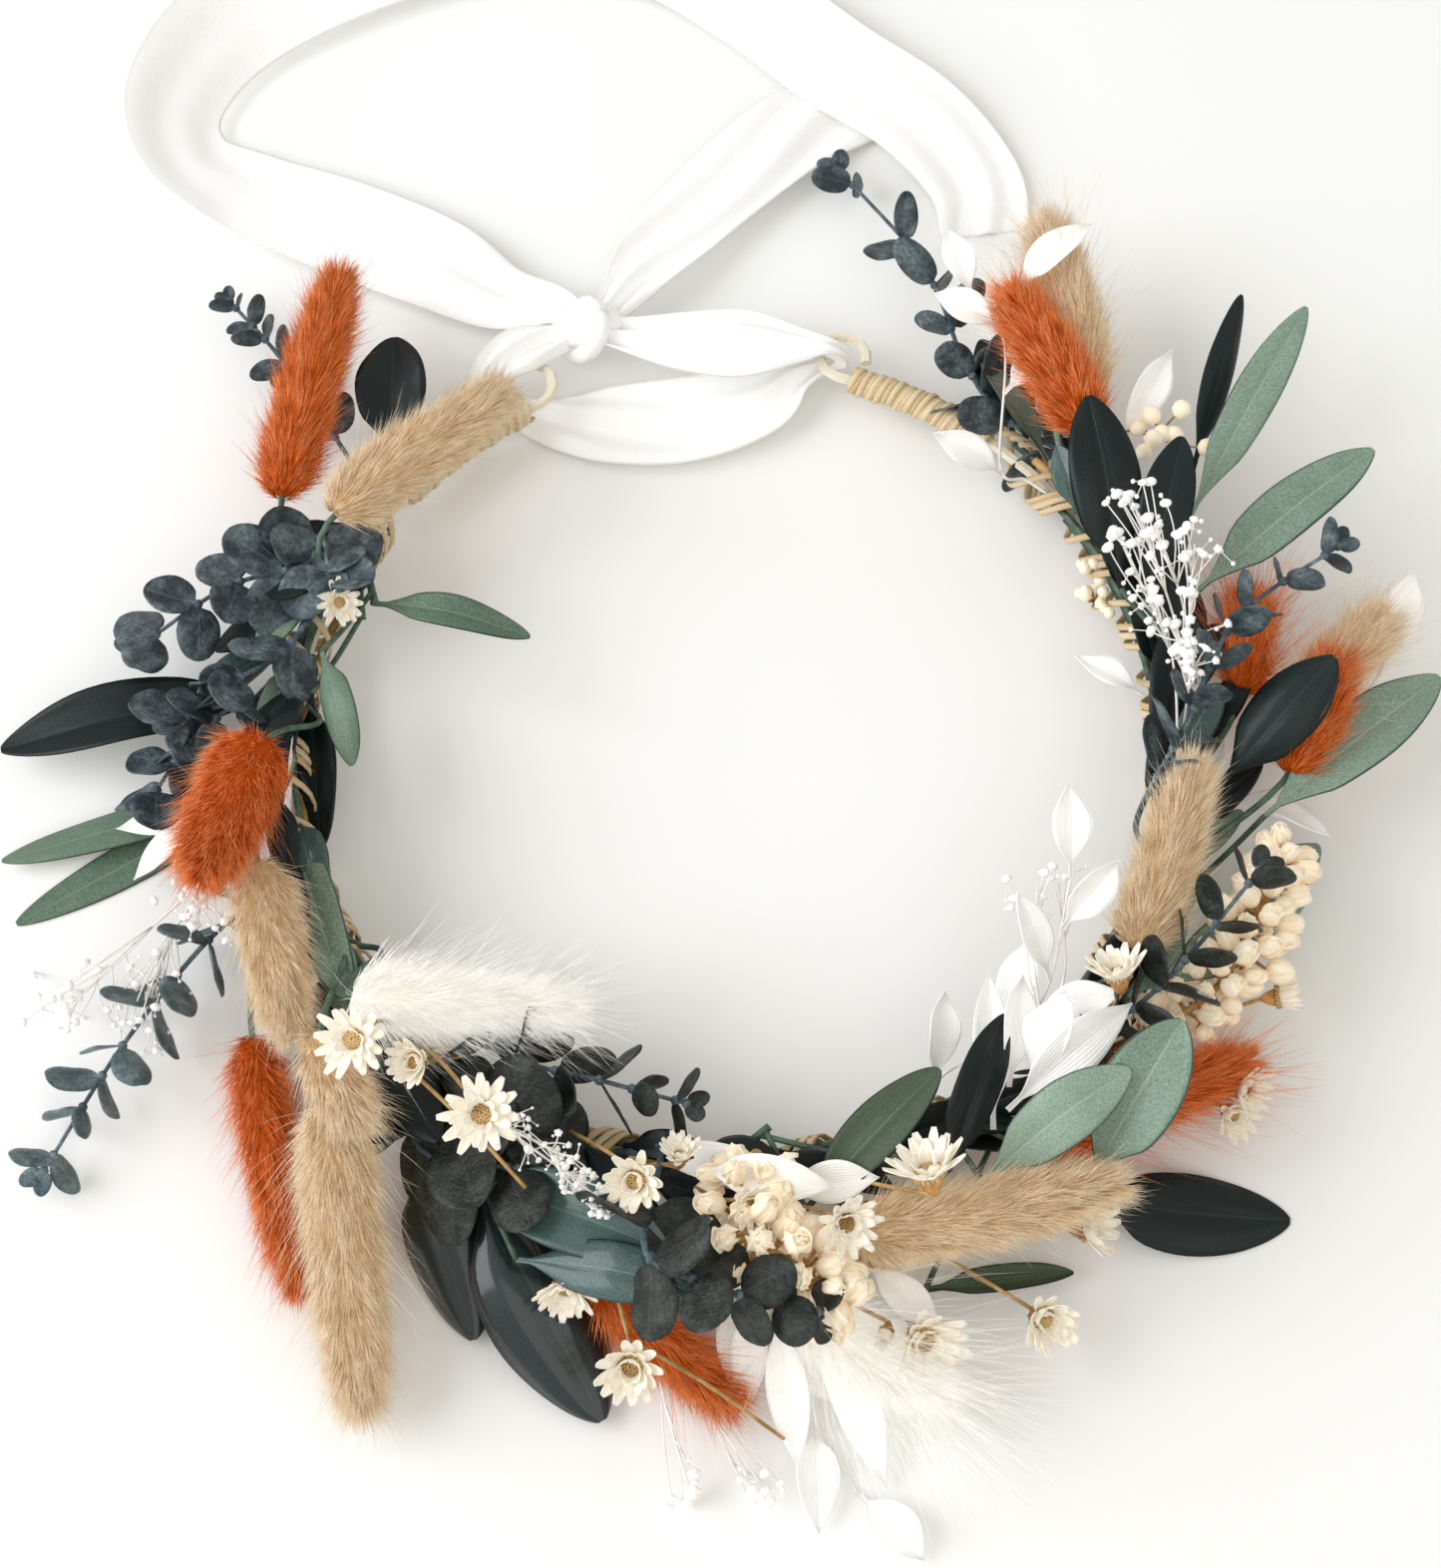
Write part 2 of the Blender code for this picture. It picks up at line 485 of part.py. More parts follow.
def make_star_flowers():
    """Each stem branches to its blooms; a bloom is a shallow cone with petals as every other point of its rim."""
    for name, wanted, stem_place, blooms in STARS:
        foot = stem_foot(wanted, stem_place, 1)
        pieces = [tube(name + "_foot", foot, [STEM_RADIUS] * len(foot), "star_flower")]
        for count, (middle, radius) in enumerate(blooms):
            bloom = place(*middle)
            start = fork(foot, count)
            rise = (start + bloom) / 2 + Vector((0, 0, BRANCH_RISE))
            branch = smooth([start, rise, bloom], 2)
            pieces.append(tube(f"{name}_branch_{count}", branch, [BRANCH_RADIUS] * len(branch), "star_flower"))
            mesh = bpy.data.meshes.new(f"{name}_bloom_{count}")
            cup = bmesh.new()
            foot_radius = radius * BLOOM_FOOT * MM
            bmesh.ops.create_cone(
                cup, cap_ends=True, segments=12, radius1=foot_radius, radius2=radius * MM, depth=BLOOM_DEPTH
            )
            for vertex in cup.verts:
                point = round(math.degrees(math.atan2(vertex.co.y, vertex.co.x)) / 30)
                if vertex.co.z > 0 and point % 2:
                    vertex.co.x *= PETAL_NOTCH
                    vertex.co.y *= PETAL_NOTCH
            outward = Vector((bloom.x, bloom.y, 0)).normalized()
            tilt = Vector((0, 0, 1)).rotation_difference(Vector((0, 0, 1)) + outward * BLOOM_LEAN)
            bmesh.ops.transform(cup, verts=cup.verts, matrix=Matrix.Translation(bloom) @ tilt.to_matrix().to_4x4())
            cup.to_mesh(mesh)
            cup.free()
            pieces.append(add(mesh.name, mesh, "star_flower"))
        fuse(name, pieces, "star_flower")


def make_buds():
    """Buds in a spiral round the end of their stem, each SPIRAL_TURN degrees on from the last and a little smaller."""
    for name, wanted, stem_place, spine, count, radius in BUDS:
        route = sprig_route(stem_foot(wanted, stem_place, 1), spine)
        stem = tube(name + "_stem_tube", route, [STEM_RADIUS] * len(route), "bud")
        buds = bmesh.new()
        for bud in range(count):
            middle, ahead, side, upper = frame_on(route, 0.6 + 0.39 * bud / (count - 1))
            turn = math.radians(SPIRAL_TURN * bud + SPIRAL_START)
            size = radius * (1 - BUD_TAPER * bud / count) * MM
            out = side * math.cos(turn) + upper * math.sin(turn)
            matrix = Matrix.Translation(middle + out * size * 0.9)
            bmesh.ops.create_uvsphere(buds, u_segments=6, v_segments=3, radius=size, matrix=matrix)
        mesh = bpy.data.meshes.new(name + "_buds")
        buds.to_mesh(mesh)
        buds.free()
        fuse(name, [stem, add(name + "_buds", mesh, "bud")], "bud")


def make_gypsophila():
    for name, wanted, stem_place, florets, radius in GYPSOPHILA:
        foot = stem_foot(wanted, stem_place, 1)
        route = sprig_route(foot, florets[:1])
        pieces = [tube(name + "_stem_tube", route, [STEM_RADIUS * 0.7] * len(route), "gypsophila")]
        heads = bmesh.new()
        for count, floret in enumerate(florets):
            end = place(*floret)
            start = fork(foot, count)
            branch = smooth([start, (start + end) / 2 + Vector((0, 0, FLORET_RISE)), end], 2)
            if count:
                pieces.append(tube(f"{name}_branch_{count}", branch, [BRANCH_RADIUS] * len(branch), "gypsophila"))
            matrix = Matrix.Translation(end)
            bmesh.ops.create_uvsphere(heads, u_segments=5, v_segments=3, radius=radius * MM, matrix=matrix)
        mesh = bpy.data.meshes.new(name + "_heads")
        heads.to_mesh(mesh)
        heads.free()
        pieces.append(add(mesh.name, mesh, "gypsophila"))
        fuse(name, pieces, "gypsophila")


def stand_on_the_table():
    """Moves the crown so that the middle of its box's underside is the origin."""
    bpy.context.view_layer.update()
    graph = bpy.context.evaluated_depsgraph_get()
    parts = bpy.data.collections["flower_crown"].objects
    corners = []
    for part in parts:
        shape = part.evaluated_get(graph).to_mesh()
        corners += [part.matrix_world @ vertex.co for vertex in shape.vertices]
    low = Vector(min(corner[axis] for corner in corners) for axis in range(3))
    high = Vector(max(corner[axis] for corner in corners) for axis in range(3))
    for part in parts:
        part.location -= Vector(((low.x + high.x) / 2, (low.y + high.y) / 2, low.z))


def main():
    for thing in list(bpy.data.objects):
        bpy.data.objects.remove(thing, do_unlink=True)
    crown = bpy.data.collections.new("flower_crown")
    bpy.context.scene.collection.children.link(crown)
    make_frame()
    make_ribbon()
    make_tails()
    make_eucalyptus()
    make_ruscus()
    make_bleached_ruscus()
    make_star_flowers()
    make_buds()
    make_gypsophila()
    stand_on_the_table()


main()
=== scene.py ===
import math
from functools import partial

import bpy
import numpy as np
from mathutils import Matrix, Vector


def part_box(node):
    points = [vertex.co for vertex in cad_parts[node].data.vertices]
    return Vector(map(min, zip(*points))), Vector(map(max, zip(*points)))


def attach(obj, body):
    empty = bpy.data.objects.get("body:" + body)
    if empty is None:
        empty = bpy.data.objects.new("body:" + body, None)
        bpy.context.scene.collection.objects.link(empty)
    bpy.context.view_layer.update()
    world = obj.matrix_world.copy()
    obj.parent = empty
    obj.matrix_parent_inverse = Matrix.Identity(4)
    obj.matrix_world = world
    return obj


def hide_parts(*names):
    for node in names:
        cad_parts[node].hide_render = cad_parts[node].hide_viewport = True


# Flower crown: dried and preserved plants bound on a wire hoop, with a satin ribbon
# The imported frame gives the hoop's place, and every piece here is set out round it

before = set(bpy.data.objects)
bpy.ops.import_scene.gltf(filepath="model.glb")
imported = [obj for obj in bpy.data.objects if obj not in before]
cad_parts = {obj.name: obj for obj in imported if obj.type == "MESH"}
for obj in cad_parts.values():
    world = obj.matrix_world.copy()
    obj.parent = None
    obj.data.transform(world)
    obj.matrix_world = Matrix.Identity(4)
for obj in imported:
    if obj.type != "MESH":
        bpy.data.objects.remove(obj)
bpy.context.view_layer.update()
mm = 0.001
print("frame loaded:", len(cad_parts), "nodes")


hoop = {
    "radius": 90, "height": 9.5,           # mm, the wire's own circle
    "leftEnd": 117, "rightEnd": 435,       # degrees where the wire ends
    "bareArc": 24,                         # degrees at each end with close raffia turns only
    "stemRing": 2.7, "bindingRing": 5.0,   # mm from the wire to a stem, and to the binding
    "bindingStep": 12,                     # degrees for one turn of the binding
    "places": 8,                           # stems round the wire
    "footBuried": 8, "footStep": 3.5, "footLift": 4,
}

wireLow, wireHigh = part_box("wire_hoop")
wireReach = (wireHigh.x - wireLow.x) / 2
hoopMiddle = np.array([(wireLow.x + wireHigh.x) / 2, wireLow.y + wireReach, 0.0])


def at(angle, radius, height):
    # a point by its angle round the hoop, and its radius and height in millimetres
    turn = np.radians(angle)
    angle, radius, height = np.broadcast_arrays(turn, radius, height)
    return hoopMiddle + mm * np.stack([radius * np.cos(angle), radius * np.sin(angle), height], -1)


def besideWire(angle, around, distance):
    # a point this far from the wire, `around` degrees round it from its outer side upwards
    lift = np.radians(around)
    return at(angle, hoop["radius"] + distance * np.cos(lift), hoop["height"] + distance * np.sin(lift))


def stemFoot(wanted, place, way):
    # a stem's foot lies along the wire, then leaves by the gap between two turns of the binding that is
    # nearest to `wanted`
    around = 360 / hoop["places"] * place
    wanted = wanted + 360 if wanted < hoop["leftEnd"] else wanted
    firstGap = hoop["leftEnd"] + hoop["bareArc"] + hoop["bindingStep"] * (0.5 + around / 360)
    leave = firstGap + hoop["bindingStep"] * round((wanted - firstGap) / hoop["bindingStep"])
    ring, clear = hoop["stemRing"], hoop["bindingRing"]
    return [
        besideWire(leave - hoop["footBuried"] * way, around, ring),
        besideWire(leave - hoop["footStep"] * way, around, ring),
        besideWire(leave, around, clear),
        besideWire(leave + hoop["footStep"] * way, around, clear + hoop["footLift"]),
    ]


def unit(vectors):
    # each vector over its own length
    return vectors / np.maximum(np.linalg.norm(vectors, axis=-1, keepdims=True), 1e-12)


def onCurve(points, positions):
    # Catmull-Rom: each span is the cubic through its two points, with slopes from the points on both
    # sides of it
    p = np.asarray(points, float)
    p = np.vstack([2 * p[0] - p[1], p, 2 * p[-1] - p[-2]])
    positions = np.asarray(positions, float)
    span = np.clip(positions.astype(int), 0, len(p) - 4)
    t = (positions - span)[:, None]
    a, b, c, d = (p[span + k] for k in range(4))
    square, cube = 2 * a - 5 * b + 4 * c - d, 3 * b - a - 3 * c + d
    return 0.5 * (2 * b + (c - a) * t + square * t**2 + cube * t**3)


def curveThrough(points, count):
    # the whole curve, at even steps from its first point to its last
    return onCurve(points, np.linspace(0, len(points) - 1, count))


def framesAlong(paths, up=None):
    # ahead runs along the path, side is square to it and to `up`, upper is square to both
    ahead = unit(np.gradient(paths, axis=-2))
    if up is None:  # the axis that each path follows least, the same all along it
        spread = np.abs(paths[..., -1, :] - paths[..., 0, :]) + 0.3 * np.abs(np.ptp(paths, axis=-2))
        up = np.eye(3)[np.argmin(spread, axis=-1)][..., None, :]
    side = unit(np.cross(ahead, np.broadcast_to(up, ahead.shape)))
    return ahead, side, np.cross(side, ahead)


def gridFaces(rows, columns, closed=False):
    # a quad between each two rows and columns; a closed grid also joins its last column to its first
    r, c = np.meshgrid(np.arange(rows - 1), np.arange(columns if closed else columns - 1), indexing="ij")
    n = (c + 1) % columns
    quads = [r * columns + c, r * columns + n, (r + 1) * columns + n, (r + 1) * columns + c]
    return np.stack(quads, -1).reshape(-1, 4)


def copies(faces, size, count):
    # the same faces for each of `count` shapes of `size` points
    return (faces[None] + (np.arange(count) * size)[:, None, None]).reshape(-1, faces.shape[1])


def part(points, faces, grain, look=0):
    # one shape, with its grain (across, along, tint) and the number of its look
    return {"points": points.reshape(-1, 3), "faces": faces, "grain": grain.reshape(-1, 3), "look": look}


def tubes(paths, radii, sides=8, tint=0.5, up=None, pointed=(False, False), look=0, lobes=0.0):
    # rings round each path: centre + radius * (side * cos - upper * sin); an end is a flat cap, or a point
    # lobes swells each ring by up to `lobes` of its radius, five times round
    paths = np.asarray(paths, float)
    paths = paths[None] if paths.ndim == 2 else paths
    count, rows = paths.shape[:2]
    radii = np.broadcast_to(radii, (count, rows))
    _, side, upper = framesAlong(paths, up)
    turn = np.arange(sides) / sides * 2 * np.pi
    swell = 1 + lobes * np.abs(np.cos(2.5 * turn))
    across, over = (np.cos(turn) * swell)[:, None], (np.sin(turn) * swell)[:, None]
    ring = side[:, :, None] * across - upper[:, :, None] * over
    points = paths[:, :, None] + ring * radii[:, :, None, None]
    along = np.broadcast_to((np.arange(rows) / (rows - 1))[:, None], (rows, sides))
    grain = np.stack([np.broadcast_to(turn / (2 * np.pi), (rows, sides)), along, along * 0], -1)
    grain = np.broadcast_to(grain, (count, rows, sides, 3)).copy()
    grain[..., 2] = np.broadcast_to(np.asarray(tint, float).reshape(-1, 1, 1), (count, rows, sides))
    first, last = int(pointed[0]), rows - int(pointed[1])
    body = points[:, first:last].reshape(count, -1, 3)
    bodyGrain = grain[:, first:last].reshape(count, -1, 3)
    tips = [k for k, sharp in ((0, pointed[0]), (rows - 1, pointed[1])) if sharp]
    size = (last - first) * sides
    c = np.arange(sides)
    n = (c + 1) % sides
    top = size - sides
    quads = gridFaces(last - first, sides, True)
    faces = [quads] if len(quads) else []
    faces.append(np.stack([n, c, c * 0 + size], -1) if pointed[0] else c[::-1][None])
    tipIndex = size + len(tips) - 1
    faces.append(np.stack([top + c, top + n, c * 0 + tipIndex], -1) if pointed[1] else (top + c)[None])
    points = np.concatenate([body, paths[:, tips]], 1)
    grain = np.concatenate([bodyGrain, grain[:, tips, 0]], 1)
    size += len(tips)
    return part(points, [copies(f, size, count) for f in faces], grain, look)


def balls(middles, radius, rows=6, sides=8, axis=(0, 0, 1), stretch=1.0, tint=0.5, look=0, lobes=0.0):
    # a tube pointed at both ends, whose radius is a half circle along its axis
    middles = np.asarray(middles, float).reshape(-1, 3)
    axis = unit(np.broadcast_to(np.asarray(axis, float), middles.shape))
    t = np.linspace(0, np.pi, rows)
    radius = np.broadcast_to(radius, (len(middles),))[:, None]
    paths = middles[:, None] - axis[:, None] * (np.cos(t) * radius * stretch)[..., None]
    return tubes(paths, radius * np.sin(t), sides, tint, None, (True, True), look, lobes)


def leafSurface(path, half, cup, roll, twist, ripple, crease, columns, tint, up=(0, 0, 1)):
    # rows follow the path and columns cross it: a point stands u half widths to the side, raised by
    # cup * u^2 half widths, sunk along the midrib by crease, and rippled at its edge by a sine along the leaf
    _, side, upper = framesAlong(path, up)
    v = np.linspace(0, 1, len(path))[:, None]
    u = np.linspace(-1, 1, columns)[None]
    turn = np.radians(roll + twist * v)
    cos, sin = np.cos(turn), np.sin(turn)
    side, upper = side * cos - upper * sin, upper * cos + side * sin
    half = half[:, None]
    rise = half * (cup * u**2 - crease * np.exp(-(u / 0.18) ** 2))
    wave = np.sin(2 * np.pi * (2.3 * v + 0.3 * np.sign(u) + tint * 5))
    rise = rise + half * ripple * np.abs(u) ** 3 * wave
    points = path[:, None] + side[:, None] * (u * half)[..., None] + upper[:, None] * rise[..., None]
    grain = np.stack(np.broadcast_arrays(u, v, tint), -1)
    return part(points, [gridFaces(len(path), columns)], grain)


def newPiece(name, parts, looks, nodes=(), thick=None, underLook=0):
    # joins the parts into one object at the origin; `thick` gives its sheets a thickness in metres
    points = np.concatenate([p["points"] for p in parts])
    starts = np.cumsum([0] + [len(p["points"]) for p in parts[:-1]])
    polygons = [(faces + start, p["look"]) for p, start in zip(parts, starts) for faces in p["faces"]]
    corners = np.concatenate([faces.ravel() for faces, _ in polygons])
    sizes = np.concatenate([np.full(len(faces), faces.shape[1]) for faces, _ in polygons])
    indices = np.concatenate([np.full(len(faces), look) for faces, look in polygons])
    mesh = bpy.data.meshes.new(name)
    mesh.vertices.add(len(points))
    mesh.vertices.foreach_set("co", points.astype(np.float32).ravel())
    mesh.loops.add(len(corners))
    mesh.loops.foreach_set("vertex_index", corners.astype(np.int32))
    mesh.polygons.add(len(sizes))
    mesh.polygons.foreach_set("loop_start", np.concatenate([[0], np.cumsum(sizes)[:-1]]).astype(np.int32))
    mesh.polygons.foreach_set("material_index", indices.astype(np.int32))
    mesh.polygons.foreach_set("use_smooth", np.ones(len(sizes), bool))
    mesh.update(calc_edges=True)
    grain = mesh.attributes.new("grain", "FLOAT_VECTOR", "POINT")
    grain.data.foreach_set("vector", np.concatenate([p["grain"] for p in parts]).astype(np.float32).ravel())
    for look in looks:
        mesh.materials.append(look)
    piece = bpy.data.objects.new(name, mesh)
    bpy.context.scene.collection.objects.link(piece)
    if thick:
        shell = piece.modifiers.new("thickness", "SOLIDIFY")
        shell.thickness = thick
        shell.offset = 0
        shell.material_offset = underLook
    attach(piece, "root")
    if nodes:
        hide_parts(*nodes)
    return piece


def hexColor(code):
    # sRGB hex to linear: c / 12.92 below 0.04045, else ((c + 0.055) / 1.055) ^ 2.4
    parts = [int(code[k : k + 2], 16) / 255 for k in (1, 3, 5)]
    return (*(c / 12.92 if c <= 0.04045 else ((c + 0.055) / 1.055) ** 2.4 for c in parts), 1.0)


def addNode(tree, kind, settings, output=0):
    # a node of this kind; each setting is one of its properties, or one of its inputs by name or number,
    # which takes a value, a hex colour or another node's output; what comes back is the node's own output
    made = tree.nodes.new("ShaderNode" + kind)
    for name, value in settings.items():
        if name == "stops":
            ramp = made.color_ramp.elements
            for k, (spot, code) in enumerate(value):
                stop = ramp[k] if k < 2 else ramp.new(spot)
                stop.position, stop.color = spot, hexColor(code)
        elif isinstance(name, str) and name not in made.inputs:
            setattr(made, name, value)
        elif isinstance(value, bpy.types.NodeSocket):
            tree.links.new(value, made.inputs[name])
        else:
            made.inputs[name].default_value = hexColor(value) if isinstance(value, str) else value
    return made.outputs[output]


def newMaterial(name, roughness, settings=None):
    # a Principled material, the function that adds a node to it, its Object coordinates, and its grain,
    # which is the place across and along the piece and the tint
    made = bpy.data.materials.new(name)
    made.use_nodes = True
    shader = made.node_tree.nodes["Principled BSDF"]
    for key, value in {"Roughness": roughness, **(settings or {})}.items():
        shader.inputs[key].default_value = hexColor(value) if isinstance(value, str) else value
    add = partial(addNode, made.node_tree)
    place = add("TexCoord", {}, "Object")
    grain = add("SeparateXYZ", {0: add("Attribute", {"attribute_name": "grain"}, "Vector")})
    return made, add, place, grain.node.outputs


def dress(made, color, height=None, depth=0.0, strength=1.0):
    # the shader's colour, and relief `depth` millimetres deep
    tree = made.node_tree
    shader = tree.nodes["Principled BSDF"]
    tree.links.new(color, shader.inputs["Base Color"])
    if height:
        bump = addNode(tree, "Bump", {"Height": height, "Distance": depth * mm, "Strength": strength})
        tree.links.new(bump, shader.inputs["Normal"])


colorMix = {"data_type": "RGBA"}           # share in 0, colours in 6 and 7, result from 2
times, plus = {"operation": "MULTIPLY"}, {"operation": "ADD"}
sine, absolute = {"operation": "SINE"}, {"operation": "ABSOLUTE"}


def makeWireTape():
    # florist wire in paper tape: crepe paper stretched round the wire, so it is dull with fine wrinkles
    made, add, place, _ = newMaterial("paperTapedWire", 0.7)
    crepe = add("TexNoise", {"Vector": place, "Scale": 1 / (0.6 * mm), "Detail": 4.0, "Roughness": 0.55})
    color = add("Mix", {**colorMix, 0: crepe, 6: "#e3d8bf", 7: "#f3ebd9"}, 2)
    dress(made, color, crepe, 0.15)
    return made


def makeRaffia():
    # raffia: dried palm leaf split into strands, so pale straw with long fibres and darker streaks along it
    made, add, place, grain = newMaterial("splitRaffia", 0.62, {"Sheen Weight": 0.15})
    across = add("Math", {**times, 0: grain["X"], 1: 9.0})
    along = add("Math", {**times, 0: grain["Y"], 1: 14.0})
    fibres = add("CombineXYZ", {0: across, 1: along, 2: grain["Z"]})
    streak = add("TexNoise", {"Vector": fibres, "Scale": 2.0, "Detail": 5.0, "Roughness": 0.6})
    share = add("MapRange", {"Value": streak, "From Min": 0.35, "From Max": 0.7})
    color = add("Mix", {**colorMix, 0: share, 6: "#c49a5c", 7: "#eddcb2"}, 2)
    tint = add("MapRange", {"Value": grain["Z"], "To Max": 0.5})
    color = add("Mix", {**colorMix, 0: tint, 6: color, 7: "#f3e6c6"}, 2)
    grit = add("TexNoise", {"Vector": place, "Scale": 1 / (0.3 * mm), "Detail": 3.0, "Roughness": 0.55})
    dress(made, color, add("Math", {**plus, 0: streak, 1: grit}), 0.2)
    return made


def makeSatin():
    # polyester satin: its float threads all lie one way, so it has a soft bright sheen; the threads are
    # drawn as 0.5 mm lines where real ones are 0.1; a faint emission is painted light, a glow that stands
    # in for the light coming through the thin cloth
    settings = {
        "Sheen Weight": 0.2, "Specular IOR Level": 0.45,
        # painted glow: a faint emission in place of the light through the cloth
        "Emission Color": "#fffefb", "Emission Strength": 0.05,
    }
    made, add, place, grain = newMaterial("wovenSatin", 0.36, settings)
    count = 25 / 0.5 * math.pi  # X runs from -1 to 1 across 25 mm
    threads = add("Math", {**sine, 0: add("Math", {**times, 0: grain["X"], 1: count})})
    edge = add("Math", {**absolute, 0: grain["X"]})
    edge = add("MapRange", {"Value": edge, "From Min": 0.9, "From Max": 0.97})
    cloud = add("TexNoise", {"Vector": place, "Scale": 1 / (6 * mm), "Detail": 2.0, "Roughness": 0.55})
    color = add("Mix", {**colorMix, 0: cloud, 6: "#ffffff", 7: "#faf9f6"}, 2)
    share = add("Math", {**times, 0: edge, 1: 0.35})
    color = add("Mix", {**colorMix, 0: share, 6: color, 7: "#e6e0d4"}, 2)
    height = add("Math", {**plus, 0: add("Math", {**times, 0: threads, 1: 0.3}), 1: edge})
    dress(made, color, height, 0.05)
    return made


def makeFur(name, root, body, tip, sheen, paintedGlow):
    # bunny tail: dyed or bleached dried grass hair, pale at its dry tips and darker towards the roots, partly
    # its own colour and partly painted shade deep in the fur; the emission is painted light, a glow that
    # stands in for the light that comes through the neighbouring hairs
    settings = {
        "Sheen Weight": sheen, "Specular IOR Level": 0.06,
        "Emission Color": body, "Emission Strength": paintedGlow,
    }
    made, add, place, grain = newMaterial(name, 0.75, settings)
    # root to body to tip; the dark roots are partly the hair's own colour and partly painted shade deep in
    # the fur
    along = add("ValToRGB", {"stops": [(0.0, root), (0.45, body), (1.0, tip)], "Fac": grain["Y"]})
    # random patches darkened towards the root colour: painted shade between the locks
    shadePatch = add("TexNoise", {"Vector": place, "Scale": 1 / (3.5 * mm), "Detail": 2.0, "Roughness": 0.55})
    shadePatch = add("MapRange", {"Value": shadePatch, "From Min": 0.3, "From Max": 0.7, "To Max": 0.5})
    color = add("Mix", {**colorMix, 0: shadePatch, 6: along, 7: root}, 2)
    dry = add("MapRange", {"Value": grain["Z"], "From Min": 0.55, "To Max": 0.45})
    dress(made, add("Mix", {**colorMix, 0: dry, 6: color, 7: tip}, 2))
    return made


def makeLeaf(name, dark, light, midrib, edge, roughness, mottle, grit, coat=0.0):
    # preserved leaf: soaked in glycerine, so leathery and supple, with a fine mottle, a rim and a midrib
    settings = {"Coat Weight": coat, "Coat Roughness": 0.13, "Specular IOR Level": 0.28}
    made, add, place, grain = newMaterial(name, roughness, settings)
    across = add("Math", {**absolute, 0: grain["X"]})
    speck = add("TexNoise", {"Vector": place, "Scale": 1 / (grit * mm), "Detail": 4.0, "Roughness": 0.65})
    speck = add("MapRange", {"Value": speck, "From Min": 0.35, "From Max": 0.68})
    broad = add("TexNoise", {"Vector": place, "Scale": 1 / (7 * mm), "Detail": 2.0, "Roughness": 0.55})
    broad = add("MapRange", {"Value": broad, "From Min": 0.3, "From Max": 0.7, "To Max": 0.3})
    share = add("Math", {**times, 0: speck, 1: mottle})
    color = add("Mix", {**colorMix, 0: share, 6: dark, 7: light}, 2)
    color = add("Mix", {**colorMix, 0: broad, 6: color, 7: dark}, 2)
    tint = add("MapRange", {"Value": grain["Z"], "To Max": 0.35})
    color = add("Mix", {**colorMix, 0: tint, 6: color, 7: light}, 2)
    ribEdge = {"From Min": 0.02, "From Max": 0.06, "To Min": 1.0, "To Max": 0.0}
    rib = add("MapRange", {"Value": across, **ribEdge})
    share = add("Math", {**times, 0: rib, 1: 0.4})
    color = add("Mix", {**colorMix, 0: share, 6: color, 7: midrib}, 2)
    rim = add("MapRange", {"Value": across, "From Min": 0.93, "From Max": 0.985, "To Max": 0.8})
    color = add("Mix", {**colorMix, 0: rim, 6: color, 7: edge}, 2)
    # side veins lean forward from the midrib, about 4 mm apart; the midrib is sunk
    lean = add("Math", {**times, 0: across, 1: -5.0})
    lean = add("Math", {**plus, 0: lean, 1: add("Math", {**times, 0: grain["Y"], 1: 60.0})})
    veins = add("Math", {**times, 0: add("Math", {**sine, 0: lean}), 1: 0.12})
    height = add("Math", {**plus, 0: veins, 1: add("Math", {**times, 0: rib, 1: -0.8})})
    height = add("Math", {**plus, 0: height, 1: add("Math", {**times, 0: speck, 1: 0.35})})
    dress(made, color, height, 0.12, 0.8)
    return made


def makeEucalyptus(name, dark, light, bloom, bloomAndHighlightShare, roughness):
    # preserved eucalyptus: near black and waxy, with a net of fine veins 1.9 mm apart and cloudy
    # blue-grey patches, partly its bloom and partly painted highlight
    made, add, place, grain = newMaterial(name, roughness, {"Specular IOR Level": 0.32})
    cells = {"Vector": place, "feature": "DISTANCE_TO_EDGE", "Scale": 1 / (1.9 * mm)}
    net = add("MapRange", {"Value": add("TexVoronoi", cells, "Distance"), "From Max": 0.12})
    fine = add("TexNoise", {"Vector": place, "Scale": 1 / (0.8 * mm), "Detail": 4.0, "Roughness": 0.6})
    color = add("Mix", {**colorMix, 0: fine, 6: dark, 7: light}, 2)
    tint = add("MapRange", {"Value": grain["Z"], "To Max": 0.5})
    color = add("Mix", {**colorMix, 0: tint, 6: color, 7: light}, 2)
    # pale cloudy patches: the waxy bloom, with painted highlight in it
    cloud = add("TexNoise", {"Vector": place, "Scale": 1 / (5 * mm), "Detail": 3.0, "Roughness": 0.55})
    cloud = add("MapRange", {"Value": cloud, "From Min": 0.4, "From Max": 0.68, "To Min": 0.1})
    speck = add("TexNoise", {"Vector": place, "Scale": 1 / (0.9 * mm), "Detail": 4.0, "Roughness": 0.6})
    speck = add("MapRange", {"Value": speck, "From Min": 0.35, "From Max": 0.65, "To Min": 0.3})
    share = add("Math", {**times, 0: add("Math", {**times, 0: cloud, 1: speck}), 1: bloomAndHighlightShare})
    color = add("Mix", {**colorMix, 0: share, 6: color, 7: bloom}, 2)
    rib = add("Math", {**absolute, 0: grain["X"]})
    rib = add("MapRange", {"Value": rib, "From Min": 0.02, "From Max": 0.07, "To Min": 0.12, "To Max": 0.0})
    color = add("Mix", {**colorMix, 0: rib, 6: color, 7: bloom}, 2)
    height = add("Math", {**times, 0: fine, 1: 0.9})
    height = add("Math", {**plus, 0: add("Math", {**times, 0: net, 1: 0.16}), 1: height})
    dress(made, color, height, 0.36)
    return made


